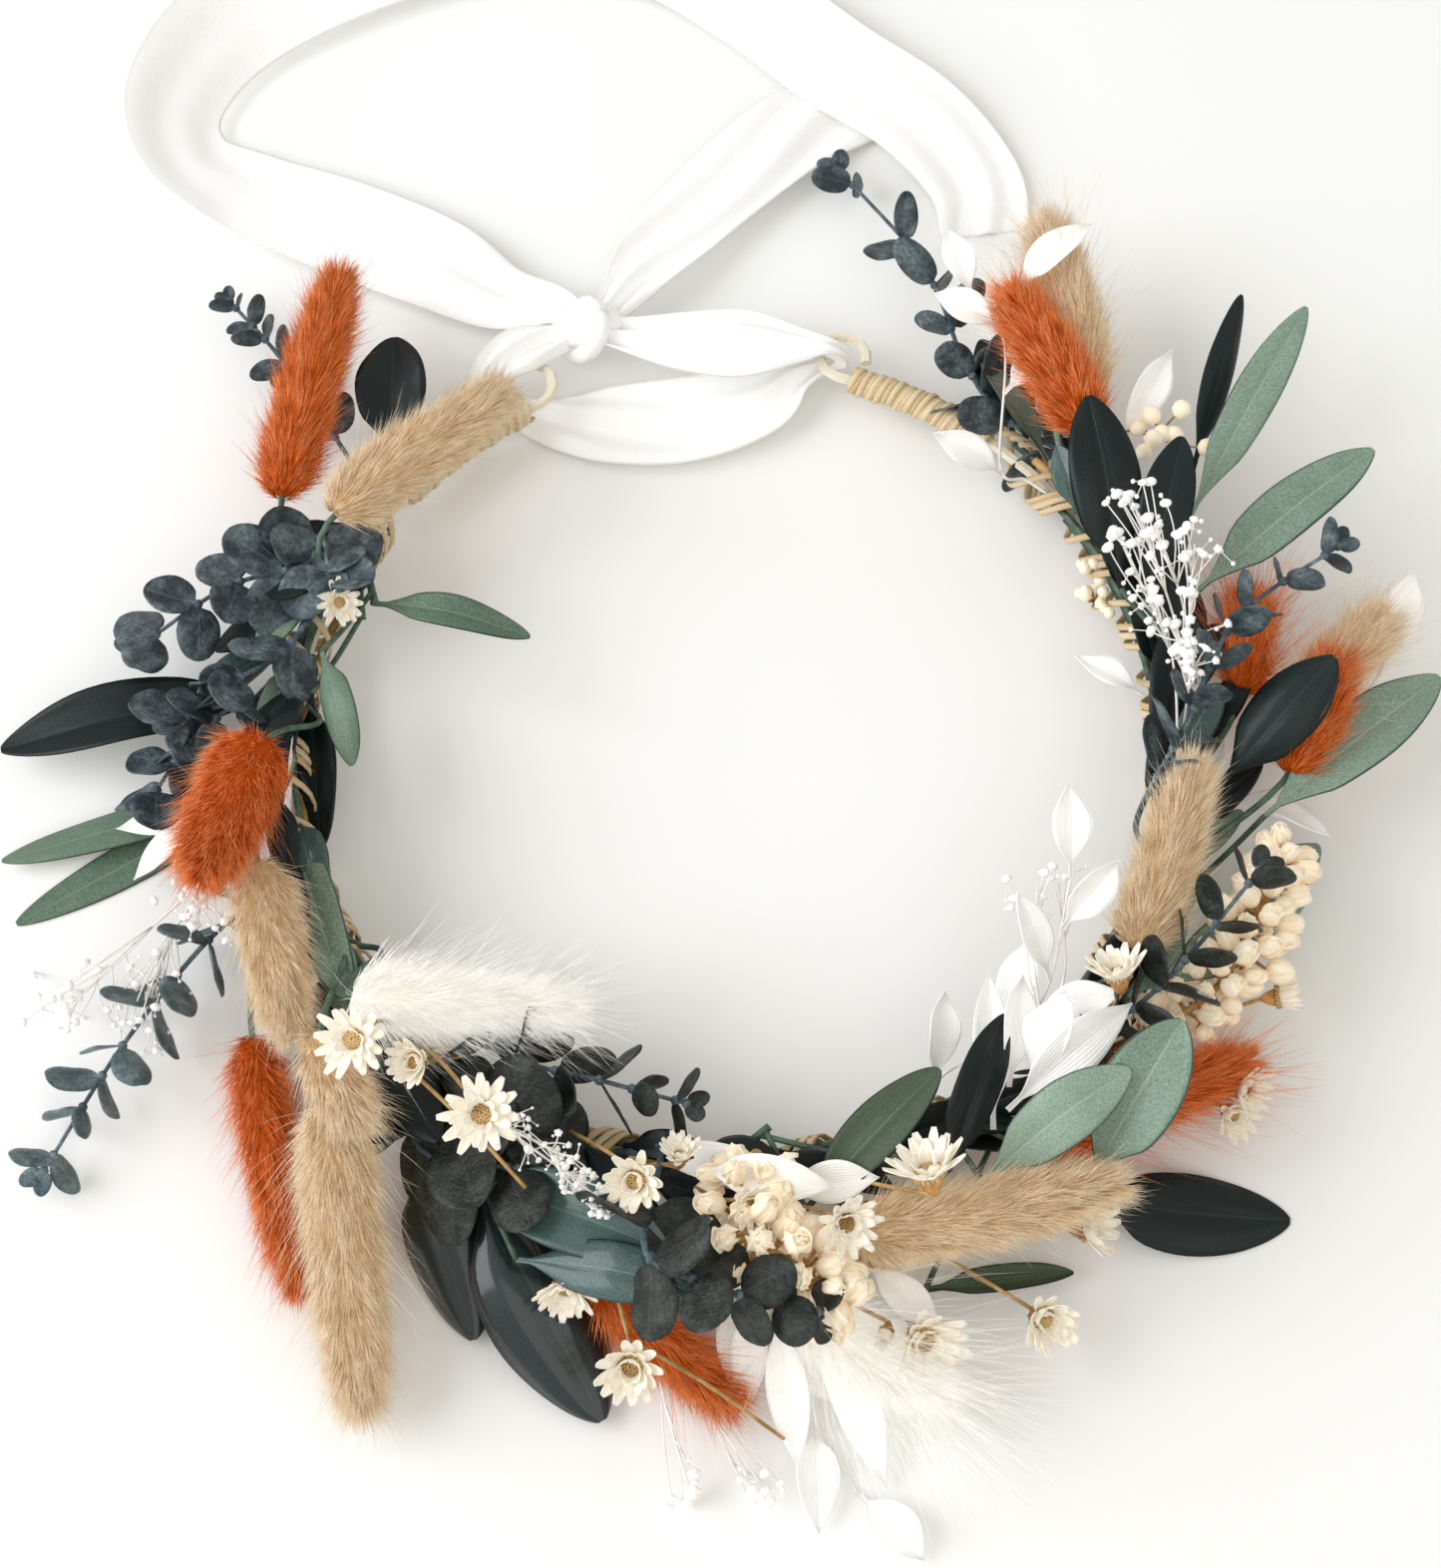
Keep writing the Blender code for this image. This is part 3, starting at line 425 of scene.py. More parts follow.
def makePaper(name, base, shade, roughness, ribs, paintedGlow):
    # bleached or dried petal and leaf: thin dry tissue, ribbed along its length; the light that it lets
    # through is painted on as a faint glow of emission, and its foot is darkened with painted shade
    settings = {"Sheen Weight": 0.1, "Emission Color": base, "Emission Strength": paintedGlow}
    made, add, place, grain = newMaterial(name, roughness, settings)
    lines = add("Math", {**times, 0: grain["X"], 1: ribs * 2 * math.pi})
    tone = add("TexNoise", {"Vector": place, "Scale": 1 / (2.5 * mm), "Detail": 3.0, "Roughness": 0.55})
    tone = add("MapRange", {"Value": tone, "From Min": 0.35, "From Max": 0.75, "To Max": 0.6})
    # darker towards each piece's foot: painted shade in the recess at a petal's base and under a berry or
    # floret
    foot = add("MapRange", {"Value": grain["Y"], "From Max": 0.35, "To Min": 0.7, "To Max": 0.0})
    color = add("Mix", {**colorMix, 0: tone, 6: base, 7: shade}, 2)
    color = add("Mix", {**colorMix, 0: foot, 6: color, 7: shade}, 2)
    dress(made, color, add("Math", {**sine, 0: lines}), 0.05, 0.7)
    return made


def makeStraw(name, dark, light):
    # dried stem: hollow straw, shaved smooth by drying, with paler and browner stretches
    made, add, place, _ = newMaterial(name, 0.5)
    tone = add("TexNoise", {"Vector": place, "Scale": 1 / (3 * mm), "Detail": 3.0, "Roughness": 0.55})
    share = add("MapRange", {"Value": tone, "From Min": 0.35, "From Max": 0.65})
    dress(made, add("Mix", {**colorMix, 0: share, 6: dark, 7: light}, 2), tone, 0.05)
    return made


def makeFloor():
    # plain matt table top, evenly painted
    made, add, place, _ = newMaterial("paleTableTop", 0.8)
    cloud = add("TexNoise", {"Vector": place, "Scale": 1 / (120 * mm), "Detail": 2.0, "Roughness": 0.55})
    dress(made, add("Mix", {**colorMix, 0: cloud, 6: "#f4f4f1", 7: "#f7f7f5"}, 2))
    return made


wireTape, raffia, satin = makeWireTape(), makeRaffia(), makeSatin()
# root, body and tip colours, sheen, and the strength of a painted glow; the roots carry painted shade
rustFur = makeFur("dyedRustGrassHair", "#963305", "#f2761c", "#ffbd8c", 0.0, 0.07)
tanFur = makeFur("driedTanGrassHair", "#a2763e", "#f4dab0", "#fff9ec", 0.0, 0.13)
whiteFur = makeFur("bleachedGrassHair", "#e4dfd3", "#fcfaf5", "#ffffff", 0.05, 0.25)
darkLeaf = makeLeaf("glycerinedDarkRuscus", "#080f10", "#172928", "#24382f", "#050909", 0.36, 0.5, 0.5, 0.08)
glossyLeaf = makeLeaf("glossyDarkLeaf", "#050d0e", "#173638", "#24382f", "#050909", 0.42, 0.6, 0.5, 0.9)
darkUnder = makeLeaf("darkRuscusUnderside", "#303d31", "#58694f", "#748565", "#151f1a", 0.44, 0.9, 0.4)
sageLeaf = makeLeaf(
    "preservedSageRuscus", "#567060", "#a5baa6", "#b6c6b0", "#1d2b24", 0.42, 0.95, 0.35, 0.15)
greenLeaf = makeLeaf(
    "preservedGreenRuscus", "#3c5244", "#7b937c", "#94a78e", "#1d2b24", 0.42, 0.95, 0.35, 0.15)
sageUnder = makeLeaf("sageRuscusUnderside", "#6a7d67", "#a8b8a2", "#bfcbb8", "#2b3b31", 0.48, 0.9, 0.35)
glaucousLeaf = makeLeaf(
    "glaucousPreservedLeaf", "#2b403c", "#63807a", "#7b948b", "#121f1d", 0.28, 0.7, 0.4, 0.5)
# dark, light and bloom colours; the bloom patches are partly painted highlight
darkEucalyptus = makeEucalyptus("preservedEucalyptus", "#080a09", "#20241f", "#646d66", 0.5, 0.4)
blueEucalyptus = makeEucalyptus("bloomedEucalyptus", "#0b1317", "#2a383f", "#97a8ae", 0.62, 0.4)
frostEucalyptus = makeEucalyptus("frostedEucalyptus", "#1d2b2f", "#4d6267", "#abbdc0", 0.6, 0.4)
eucalyptusTwig = makeEucalyptus("eucalyptusTwig", "#1b262d", "#40525d", "#a3b3bc", 0.7, 0.7)
# base and shade colours, roughness, ribs, and the strength of a painted glow; the shade colour is also
# painted shade at each foot
bleached = makePaper("bleachedLeafPaper", "#fefdfb", "#f1eee8", 0.5, 7, 0.12)
petal = makePaper("driedIvoryPetal", "#fffaee", "#f3e2be", 0.5, 3, 0.09)
budScale = makePaper("driedCreamBud", "#fff5e0", "#f2d3a2", 0.5, 2, 0.11)
whiteBloom = makePaper("bleachedGypsophila", "#fdfcfa", "#efece6", 0.7, 2, 0.12)
strawStem = makeStraw("driedStraw", "#9a733c", "#cba66a")
heartStraw = makeStraw("driedFlowerHeart", "#9b7740", "#d9bb84")
greenStem = makeStraw("driedGreenStem", "#33493c", "#5a7460")
calyxBrown = makeStraw("driedCalyx", "#a4672a", "#d9a764")
whiteTwig = makeStraw("bleachedTwig", "#ece8e0", "#fbf9f5")
print("materials made")


binding = {
    "strand": 0.75, "flat": 0.45,           # half a strand's width in mm, and its thickness over its width
    "wrapStrand": 0.72, "wrapFlat": 0.6,    # the same, of the close turns on the bare wire
    "wrapStep": 2.89,                       # degrees for one close turn
    "points": 14,                           # to one turn
    # degrees along the hoop, mm from the wire, and tint of each long strand; phase, mm and tint of each
    # close one
    "strands": [(0, 5.0, 0.4), (1.5, 5.1, 0.75), (2.7, 4.9, 0.1), (6.4, 4.8, 0.55)],
    "wraps": [(0.0, 2.6, 0.5), (1.6, 2.8, 0.9), (3.1, 2.5, 0.1), (4.7, 2.9, 0.7)],
}


def coilPath(start, end, step, ring, phase=0.0, wander=0.0):
    # wound round the wire: the angle round the hoop grows evenly with the angle round the wire
    count = int(abs(end - start) / step * binding["points"])
    t = np.arange(count + 1) / binding["points"]
    loose = wander * np.sin(t * 2.9 + phase) + wander * np.sin(t * 7.3 + 2 * phase)
    angle = start + step * (t + 0.35 * wander * np.sin(t * 1.7 + phase))
    return besideWire(angle, 360 * t + phase * 57, ring + loose)


def strandOn(path, width, thickness, tint, centreLine):
    # a flat strand: a tube squeezed across the direction away from the wire
    made = tubes(path, width * mm, 8, tint, up=unit(path - centreLine))
    middle = np.repeat(path, 8, axis=0)
    away = np.repeat(unit(path - centreLine), 8, axis=0)
    offset = made["points"] - middle
    squeezed = (offset * away).sum(-1, keepdims=True) * away
    made["points"] = middle + offset - squeezed * (1 - thickness)
    return made


def onWire(path):
    # the nearest points of the wire's own circle
    flat = (path - hoopMiddle) * [1, 1, 0]
    return hoopMiddle + unit(flat) * hoop["radius"] * mm + [0, 0, hoop["height"] * mm]


def makeBinding():
    # long open turns over the stems, and close turns on the bare wire at both ends
    start, end = hoop["leftEnd"], hoop["rightEnd"]
    strands = []
    low, high = start + hoop["bareArc"], end - hoop["bareArc"] - 3
    for k, (shift, ring, tint) in enumerate(binding["strands"]):
        path = coilPath(low + shift, high + shift, hoop["bindingStep"], ring, 0.0, 0.05 * k)
        strands.append(strandOn(path, binding["strand"], binding["flat"], tint, onWire(path)))
    newPiece("raffiaBinding", strands, [raffia], ["raffia_binding"])
    sides = (
        ("raffiaWrapLeft", "raffia_wrap_left", start + 2, start + hoop["bareArc"] - 1),
        ("raffiaWrapRight", "raffia_wrap_right", end - hoop["bareArc"] + 1, end - 2),
    )
    for name, node, low, high in sides:
        turns = []
        for phase, ring, tint in binding["wraps"]:
            path = coilPath(low, high, binding["wrapStep"], ring, phase, 0.14)
            turns.append(strandOn(path, binding["wrapStrand"], binding["wrapFlat"], tint, onWire(path)))
        newPiece(name, turns, [raffia], [node])


def makeStemBundle():
    # the cut stems under the binding: each lies along the wire and sways a little round it
    lines = []
    for k in range(9):
        low, high = (141, 300) if k % 2 else (236, 409)
        angle = np.linspace(low + 3 * k, high - 2 * k, 90)
        around = 40 * k + 25 * np.sin(np.radians(angle * 3 + 50 * k))
        path = besideWire(angle, around, 2.9 + 0.35 * np.sin(np.radians(angle * 7 + 90 * k)))
        lines.append(tubes(path, (0.75 + 0.1 * (k % 3)) * mm, 7, k / 8, look=k % 3 // 2))
    newPiece("stemBundle", lines, [greenStem, strawStem])


makeBinding()
makeStemBundle()
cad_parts["wire_hoop"].data.materials.clear()
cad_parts["wire_hoop"].data.materials.append(wireTape)
print("hoop bound")


# each row: place, width that shows in mm, roll in degrees; the cut width is always 25 mm, so narrow rows
# are pleated
ribbon = {
    "width": 25, "thick": 0.25, "pleats": 2.0, "pleatShare": 0.55, "columns": 33, "floorGap": 0.2,
    "backSpan": [
        ((107, 103, 10), 6, 0), ((103, 99, 10.5), 9, 0), ((96, 95, 12), 15, 0), ((88, 93.5, 13), 17, 0),
        ((80, 94, 13), 8, 0), ((77, 94.5, 12.6), 4, 0), ((75, 95, 9.5), 4, 0), ((77, 94.2, 6.2), 4, 0),
        ((81, 91, 5), 10, 0), ((86, 84.5, 4), 18, 0), ((97, 80.5, 3), 21, 0), ((108, 83, 3), 19, 0),
        ((115, 88.5, 2.5), 13, 0), ((119, 94, 3), 8, 0), ((122, 97, 6), 6, 0), ((121, 101, 11), 8, 0),
        ((116, 103, 12), 12, 0), ((110, 104, 10), 7, 0),
    ],
    "leftTail": [
        ((108.5, 105, 9), 6, 0), ((110, 112, 8), 10, 0), ((115, 121, 6), 17, 0), ((119, 137, 5), 24, 0),
        ((124, 157, 4), 25, 0), ((128, 175, 5), 25, 10), ((130, 190, 8), 24, 25),
        ((128, 204, 10), 24, 35), ((122, 214, 10), 25, 35), ((113, 217, 10), 25, 30),
        ((104, 217, 8), 25, 20), ((95, 207, 6), 25, 10), ((88, 189, 6), 25, 0), ((82, 174, 7), 25, 0),
        ((75, 165, 5), 24, 0), ((69, 154, 2), 22, 0), ((66, 142, 0.4), 20, 0),
    ],
    "rightTail": [
        ((106.5, 105, 9), 6, 0), ((103, 110, 8), 9, 0), ((98, 121, 7), 16, 0), ((92, 136, 6), 20, 0),
        ((86, 152, 4.5), 22, 0), ((81, 166, 1.5), 23, 0), ((78, 174, 0.6), 23, 0),
    ],
    "knot": ((107.5, 104, 9.5), (8.5, 6.5, 5.0)),
}


def ribbonStrip(rows, steps):
    # where the strip is gathered to a width w, n pleats cross it as a sine; a height of
    # w / (2 pi n) * sqrt(2 * ((W / w)^2 - 1)) would take up all of its cut width W, and pleatShare of it is
    # drawn, because the rest of the cloth lies in folds too fine to show
    table = np.array([[*at(*place), width, roll] for place, width, roll in rows])
    fine = curveThrough(table, steps)
    path, shown, roll = fine[:, :3], np.clip(fine[:, 3], 3.5, ribbon["width"]), np.radians(fine[:, 4])
    ahead = unit(np.gradient(path, axis=0))
    side = np.cross(ahead, [0, 0, 1.0])
    for k in range(1, len(side)):  # where the strip runs steeply, its side is carried on from the row before
        level = side[k] * np.sign(side[k] @ side[k - 1])
        carried = side[k - 1] - (side[k - 1] @ ahead[k]) * ahead[k]
        side[k] = level if np.linalg.norm(level) > 0.5 else carried
        side[k] /= np.linalg.norm(side[k])
    side = unit(side)
    upper = np.cross(side, ahead)
    cos, sin = np.cos(roll)[:, None], np.sin(roll)[:, None]
    side, upper = side * cos - upper * sin, upper * cos + side * sin
    u = np.linspace(-1, 1, ribbon["columns"])[None]
    full = ribbon["width"]
    height = shown / (2 * np.pi * ribbon["pleats"]) * np.sqrt(2 * np.maximum((full / shown) ** 2 - 1, 0.0))
    v = np.linspace(0, 1, steps)[:, None]
    fold = np.sin(np.pi * ribbon["pleats"] * (u + 0.35 * np.sin(9 * v)) + 1.1)
    pleat = height[:, None] * ribbon["pleatShare"] * fold
    wave = 0.35 * np.sin(11 * v + 2 * u) * np.clip(shown[:, None] / full, 0, 1)
    points = path[:, None] + mm * side[:, None] * (u * shown[:, None] / 2)[..., None]
    points = points + mm * upper[:, None] * (pleat + wave)[..., None]
    points[..., 2] = np.maximum(points[..., 2], ribbon["floorGap"] * mm)
    length = np.linalg.norm(np.diff(path, axis=0), axis=1).sum()
    grain = np.stack(np.broadcast_arrays(u, v * length / mm / full, 0.5), -1)
    return part(points, [gridFaces(steps, ribbon["columns"])], grain), length


def makeRibbon():
    # the knot's three turns round a firm middle, then the three flat strips that run into it
    middle, radii = ribbon["knot"]
    spin = math.radians(middle[0] - 90)
    cos, sin = math.cos(spin), math.sin(spin)
    wraps = []
    for k, (lean, wide) in enumerate([(0.2, 1.0), (-0.5, 0.9), (0.9, 0.85)]):
        # the knot's turns: a ring in the plane that leans, a little larger than the bundle that it holds
        t = np.linspace(0, 2 * np.pi, 28)
        x = np.cos(t) * radii[0] * 0.45 * np.cos(lean) * wide + k * 0.8 - 0.8
        y = np.sin(t) * radii[1] * 0.8 * wide
        z = np.cos(t) * radii[2] * 0.75 * wide + 0.3 * k
        turned = np.stack([x * cos - y * sin, x * sin + y * cos, z], -1)
        ring = at(*middle) + turned * mm
        wraps.append(tubes(ring, 1.9 * wide * mm, 12, 0.5, lobes=0.25, up=(cos, sin, 0.2)))
    wraps.append(balls([at(*middle)], 4.2 * mm, 12, 20, (cos, sin, 0), 2.0, lobes=0.18))
    knot = newPiece("ribbonKnot", wraps, [satin], ["ribbon_knot"])
    strips = (
        ("ribbonBackSpan", "backSpan", "ribbon_back_span", 110, "stretched", ["wire_hoop"]),
        ("ribbonTailLeft", "leftTail", "ribbon_tail_left", 150, "laid", ["ribbonKnot"]),
        ("ribbonTailRight", "rightTail", "ribbon_tail_right", 70, "laid", ["ribbonKnot"]),
    )
    for name, key, node, steps, held, rests in strips:
        surface, length = ribbonStrip(ribbon[key], steps)
        strip = newPiece(name, [surface], [satin], [node], ribbon["thick"] * mm)


makeRibbon()
print("ribbon laid")


# hair and awn lengths in mm, lift from the core in degrees, awns to a head, short hairs to a square mm
furLooks = {
    "rust": {
        "fur": rustFur, "slot": "tail_rust", "shape": "egg",
        "hair": 6.8, "awn": 12, "lift": 34, "awns": 380, "dense": 3.6,
    },
    "tan": {
        "fur": tanFur, "slot": "tail_tan", "shape": "egg",
        "hair": 7.2, "awn": 11, "lift": 30, "awns": 320, "dense": 3.6,
    },
    "white": {
        "fur": whiteFur, "slot": "tail_white", "shape": "plume",
        "hair": 11.0, "awn": 20, "lift": 33, "awns": 460, "dense": 3.4,
    },
}
# degrees that the lift strays by, a hair's radius in mm, its points, and how far it lies in locks; real
# hairs are too fine to show, so these are drawn thicker
shortHair = {"spread": 9, "radius": 0.075, "rows": 3, "clump": 0.75}
awnHair = {"spread": 14, "radius": 0.045, "rows": 5, "clump": 0.5}

# the firm core's radius along the head, from its foot to its tip: an egg, and a plume that thins to a point
headPlaces = [0, 0.05, 0.12, 0.25, 0.45, 0.65, 0.82, 0.93, 1]
headShapes = {
    "egg": [0.3, 0.62, 0.84, 0.97, 1, 0.93, 0.75, 0.5, 0.12],
    "plume": [0.3, 0.75, 1, 1.1, 1, 0.78, 0.5, 0.28, 0.06],
}

# look, number, leaves the binding at, place, way, the head's foot and tip, and its firm core's radius in mm
bunnyTails = [
    ("rust", 1, 160, 1, -1, (151, 107, 19), (129, 133, 23), 5.5),
    ("tan", 1, 163, 2, -1, (152, 92, 27), (124, 85, 30), 6.0),
    ("rust", 2, 175, 3, 1, (186, 93, 30), (202, 108, 40), 7.5),
    ("tan", 2, 188, 1, 1, (199, 98, 23), (218, 107, 22), 5.5),
    ("rust", 3, 200, 0, 1, (214, 113, 10), (234, 139, 8), 4.5),
    ("tan", 3, 211, 2, 1, (222, 104, 30), (231, 111, 31), 4.5),
    ("tan", 4, 215, 1, 1, (227, 110, 23), (243, 152, 9), 6.8),
    ("white", 1, 207, 3, 1, (220, 94, 27), (244, 70, 27), 4.4),
    ("rust", 4, 246, 0, 1, (257, 114, 9), (270, 134, 7), 4.5),
    ("white", 2, 266, 0, 1, (276, 117, 12), (286, 139, 10), 4.5),
    ("tan", 5, 270, 1, 1, (282, 108, 22), (306, 121, 28), 6.0),
    ("rust", 5, 290, 1, 1, (303, 102, 14), (325, 122, 14), 5.5),
    ("tan", 6, 314, 2, 1, (327, 93, 25), (352, 93, 26), 5.5),
    ("rust", 6, 342, 1, 1, (354, 112, 20), (5, 122, 26), 5.0),
    ("tan", 7, 350, 0, 1, (2, 114, 17), (9, 134, 24), 5.0),
    ("rust", 7, 354, 1, 1, (5, 105, 14), (16, 112, 14), 4.5),
    ("rust", 8, 30, 2, 1, (41, 99, 24), (58, 112, 30), 6.0),
    ("tan", 8, 33, 1, 1, (45, 108, 19), (59, 131, 29), 6.0),
    ("white", 3, 38, 7, 1, (51, 113, 5), (62, 129, 4), 4.0),
]


def hairsOn(path, core, count, length, lift, seed, spread, radius, rows, clump):
    # each hair starts on the core at (s, turn), and leans from the head's own direction by its lift,
    # which falls from the base to the tip; sums of sines in s and turn pull neighbours the same way, so
    # that the hair lies in locks
    rng = np.random.default_rng(seed)
    s = rng.random(count) ** 0.85
    turn = rng.random(count) * 2 * np.pi
    spot = s * (len(path) - 1)
    low = np.minimum(spot.astype(int), len(path) - 2)
    share = (spot - low)[:, None]
    ahead, side, upper = framesAlong(path, (0.1, 0.2, 1))
    middle = path[low] * (1 - share) + path[low + 1] * share
    a, b, c = (f[low] * (1 - share) + f[low + 1] * share for f in (ahead, side, upper))
    thick = np.interp(spot, np.arange(len(path)), core)
    phase = rng.random(6) * 6.28
    lock = np.sin(5 * turn + 9 * s + phase[0]) + 0.7 * np.sin(9 * turn - 21 * s + phase[1])
    lock = lock + 0.5 * np.sin(3 * turn + 33 * s + phase[2])
    drift = clump * 0.16 * (np.sin(4 * turn - 12 * s + phase[3]) + np.sin(7 * turn + 17 * s + phase[4]))
    drift = drift + rng.normal(0, 0.12, count)
    out = b * np.cos(turn)[:, None] - c * np.sin(turn)[:, None]
    around = np.cross(a, out)
    rise = lift + 42 * np.exp(-s * 7) + 5 * clump * lock + rng.normal(0, spread, count)
    long = length * mm * rng.uniform(0.6, 1.2, count) * (1 + 0.1 * clump * lock)
    long = long * np.interp(s, [0, 0.1, 0.8, 1], [0.6, 1, 1, 0.8])
    root = middle + out * (thick * 0.75)[:, None]
    steps = [root]
    for k in range(1, rows):
        angle = np.radians(np.clip(rise + 8 - 16 * k / (rows - 1), 2, 95))[:, None]
        aside = around * (drift * (0.5 + k / rows))[:, None]
        heading = unit(a * np.cos(angle) + out * np.sin(angle) + aside)
        steps.append(steps[-1] + heading * (long / (rows - 1))[:, None])
    paths = np.stack(steps, 1)
    paths[..., 2] = np.maximum(paths[..., 2], 0.15 * mm)
    taper = np.linspace(1, 0.5, rows) * radius * mm
    tint = np.clip(0.45 + 0.09 * lock + rng.normal(0, 0.26, count), 0, 1)
    return tubes(paths, taper, 3, tint, pointed=(False, True))


longHaired = [("tan", 8), ("tan", 7), ("rust", 7), ("rust", 5), ("tan", 4), ("white", 2)]


def makeTail(look, number, wanted, place, way, base, tip, core, seed):
    # a stem, a firm core along its last span, short hair all over the core, and long thin awns
    style = furLooks[look]
    long = 1.6 if (look, number) in longHaired else 1.0
    points = [*stemFoot(wanted, place, way), at(*base), at(*tip)]
    head = len(points) - 2
    path = onCurve(points, head + np.linspace(0, 1, 26))
    s = np.linspace(0, 1, 26)
    coreRadius = core * mm * np.interp(s, headPlaces, headShapes[style["shape"]])
    solid = tubes(path, coreRadius * 0.86, 16, 0.3, pointed=(True, True))
    # the core takes the colour of the hairs near their roots, painted shade included
    solid["grain"][:, 1] = 0.15
    stem = tubes(onCurve(points, np.linspace(0, head + 0.1, 24)), 0.65 * mm, 8, 0.5, look=1)
    area = np.linalg.norm(np.diff(path, axis=0), axis=1).sum() * core * mm * 2 * np.pi / mm**2
    count, lift = int(area * style["dense"]), style["lift"]
    short = hairsOn(path, coreRadius, count, style["hair"], lift, seed, **shortHair)
    awns = hairsOn(path, coreRadius, style["awns"], style["awn"] * long, lift * 0.9, seed + 50, **awnHair)
    name = f"{look}Tail{number}"
    node = f"tail_{look}_{number}"
    newPiece(name, [solid, stem, short, awns], [style["fur"], greenStem], [node])


for seed, row in enumerate(bunnyTails):
    makeTail(*row, seed + 1)
print("bunny tails brushed")


# number, look, leaves the binding at, place, way, spine, leaf pairs, first and last leaf radius in mm,
# bare share, and how far its leaves turn to lie level, from 0 to 1
eucalyptus = [
    (1, "blue", 150, 7, -1, [(137, 131, 9), (136, 152, 10.5)], 6, 4.6, 3.0, 0.3, 0.3),
    (2, "blue", 148, 1, 1, [(158, 94, 21), (164, 107, 22), (171, 121, 18)], 6, 7.2, 5.6, 0.1, 0.65),
    (3, "blue", 168, 0, 1, [(177, 100, 18), (182, 109, 18), (187, 117, 15)], 6, 5.8, 5.0, 0.2, 0.45),
    (4, "frost", 192, 7, 1, [(203, 113, 11), (209, 136, 11), (214, 160, 7)], 9, 6.6, 4.4, 0.15, 0.3),
    (5, "dark", 221, 0, 1, [(234, 101, 17), (243, 99, 21)], 4, 8.8, 8.5, 0.3, 0.75),
    (6, "dark", 228, 4, 1, [(240, 82, 19), (252, 80, 22), (264, 81, 22)], 6, 8.0, 4.0, 0.2, 0.15),
    (7, "dark", 253, 2, 1, [(262, 113, 34), (268, 119, 37), (273, 122, 36), (278, 124, 31)],
     6, 8.8, 3.2, 0.15, 0.5),
    (8, "dark", 306, 3, 1, [(318, 97, 24), (326, 102, 32), (339, 108, 36)], 7, 7.4, 4.4, 0.2, 0.2),
    (9, "blue", 348, 3, 1, [(358, 91, 29), (8, 101, 38), (14, 125, 38)], 8, 6.0, 3.8, 0.15, 0.1),
    (10, "blue", 43, 0, 1, [(52, 95, 13), (60, 100, 17), (69, 118, 17), (80, 143, 9)],
     8, 7.0, 5.0, 0.1, 0.25),
    (11, "blue", 150, 1, 1, [(155, 92, 22), (159, 88, 24)], 2, 6.5, 6.0, 0.3, 0.8),
    (12, "blue", 160, 2, 1, [(171, 93, 20), (176, 102, 22), (180, 110, 20)], 3, 6.4, 5.6, 0.2, 0.5),
    (13, "dark", 224, 2, 1, [(236, 106, 18), (247, 102, 24)], 3, 9.0, 8.5, 0.3, 0.8),
]
eucalyptusLooks = {"blue": blueEucalyptus, "dark": darkEucalyptus, "frost": frostEucalyptus}


def roundLeaf(start, along, normal, radius, narrow, rng):
    # half width = narrow * radius * sqrt(1 - (2w - 1)^2) past a short stalk, so a circle made narrower
    v = (1 - np.cos(np.pi * np.linspace(0, 1, 14))) / 2
    w = np.clip((v - 0.06) / 0.94, 0, 1)
    half = radius * narrow * np.sqrt(np.clip(1 - (2 * w**0.92 - 1) ** 2, 0, 1)) + 0.12 * mm
    bend = rng.uniform(-0.3, 0.4)
    path = start + along * (2.1 * radius * v)[:, None] + normal * (radius * bend * (v**2 - 0.6 * v))[:, None]
    cup = rng.uniform(-0.4, 0.3)
    return leafSurface(path, half, cup, 0, rng.uniform(-14, 14), 0.05, 0.05, 9, rng.random(), up=normal)


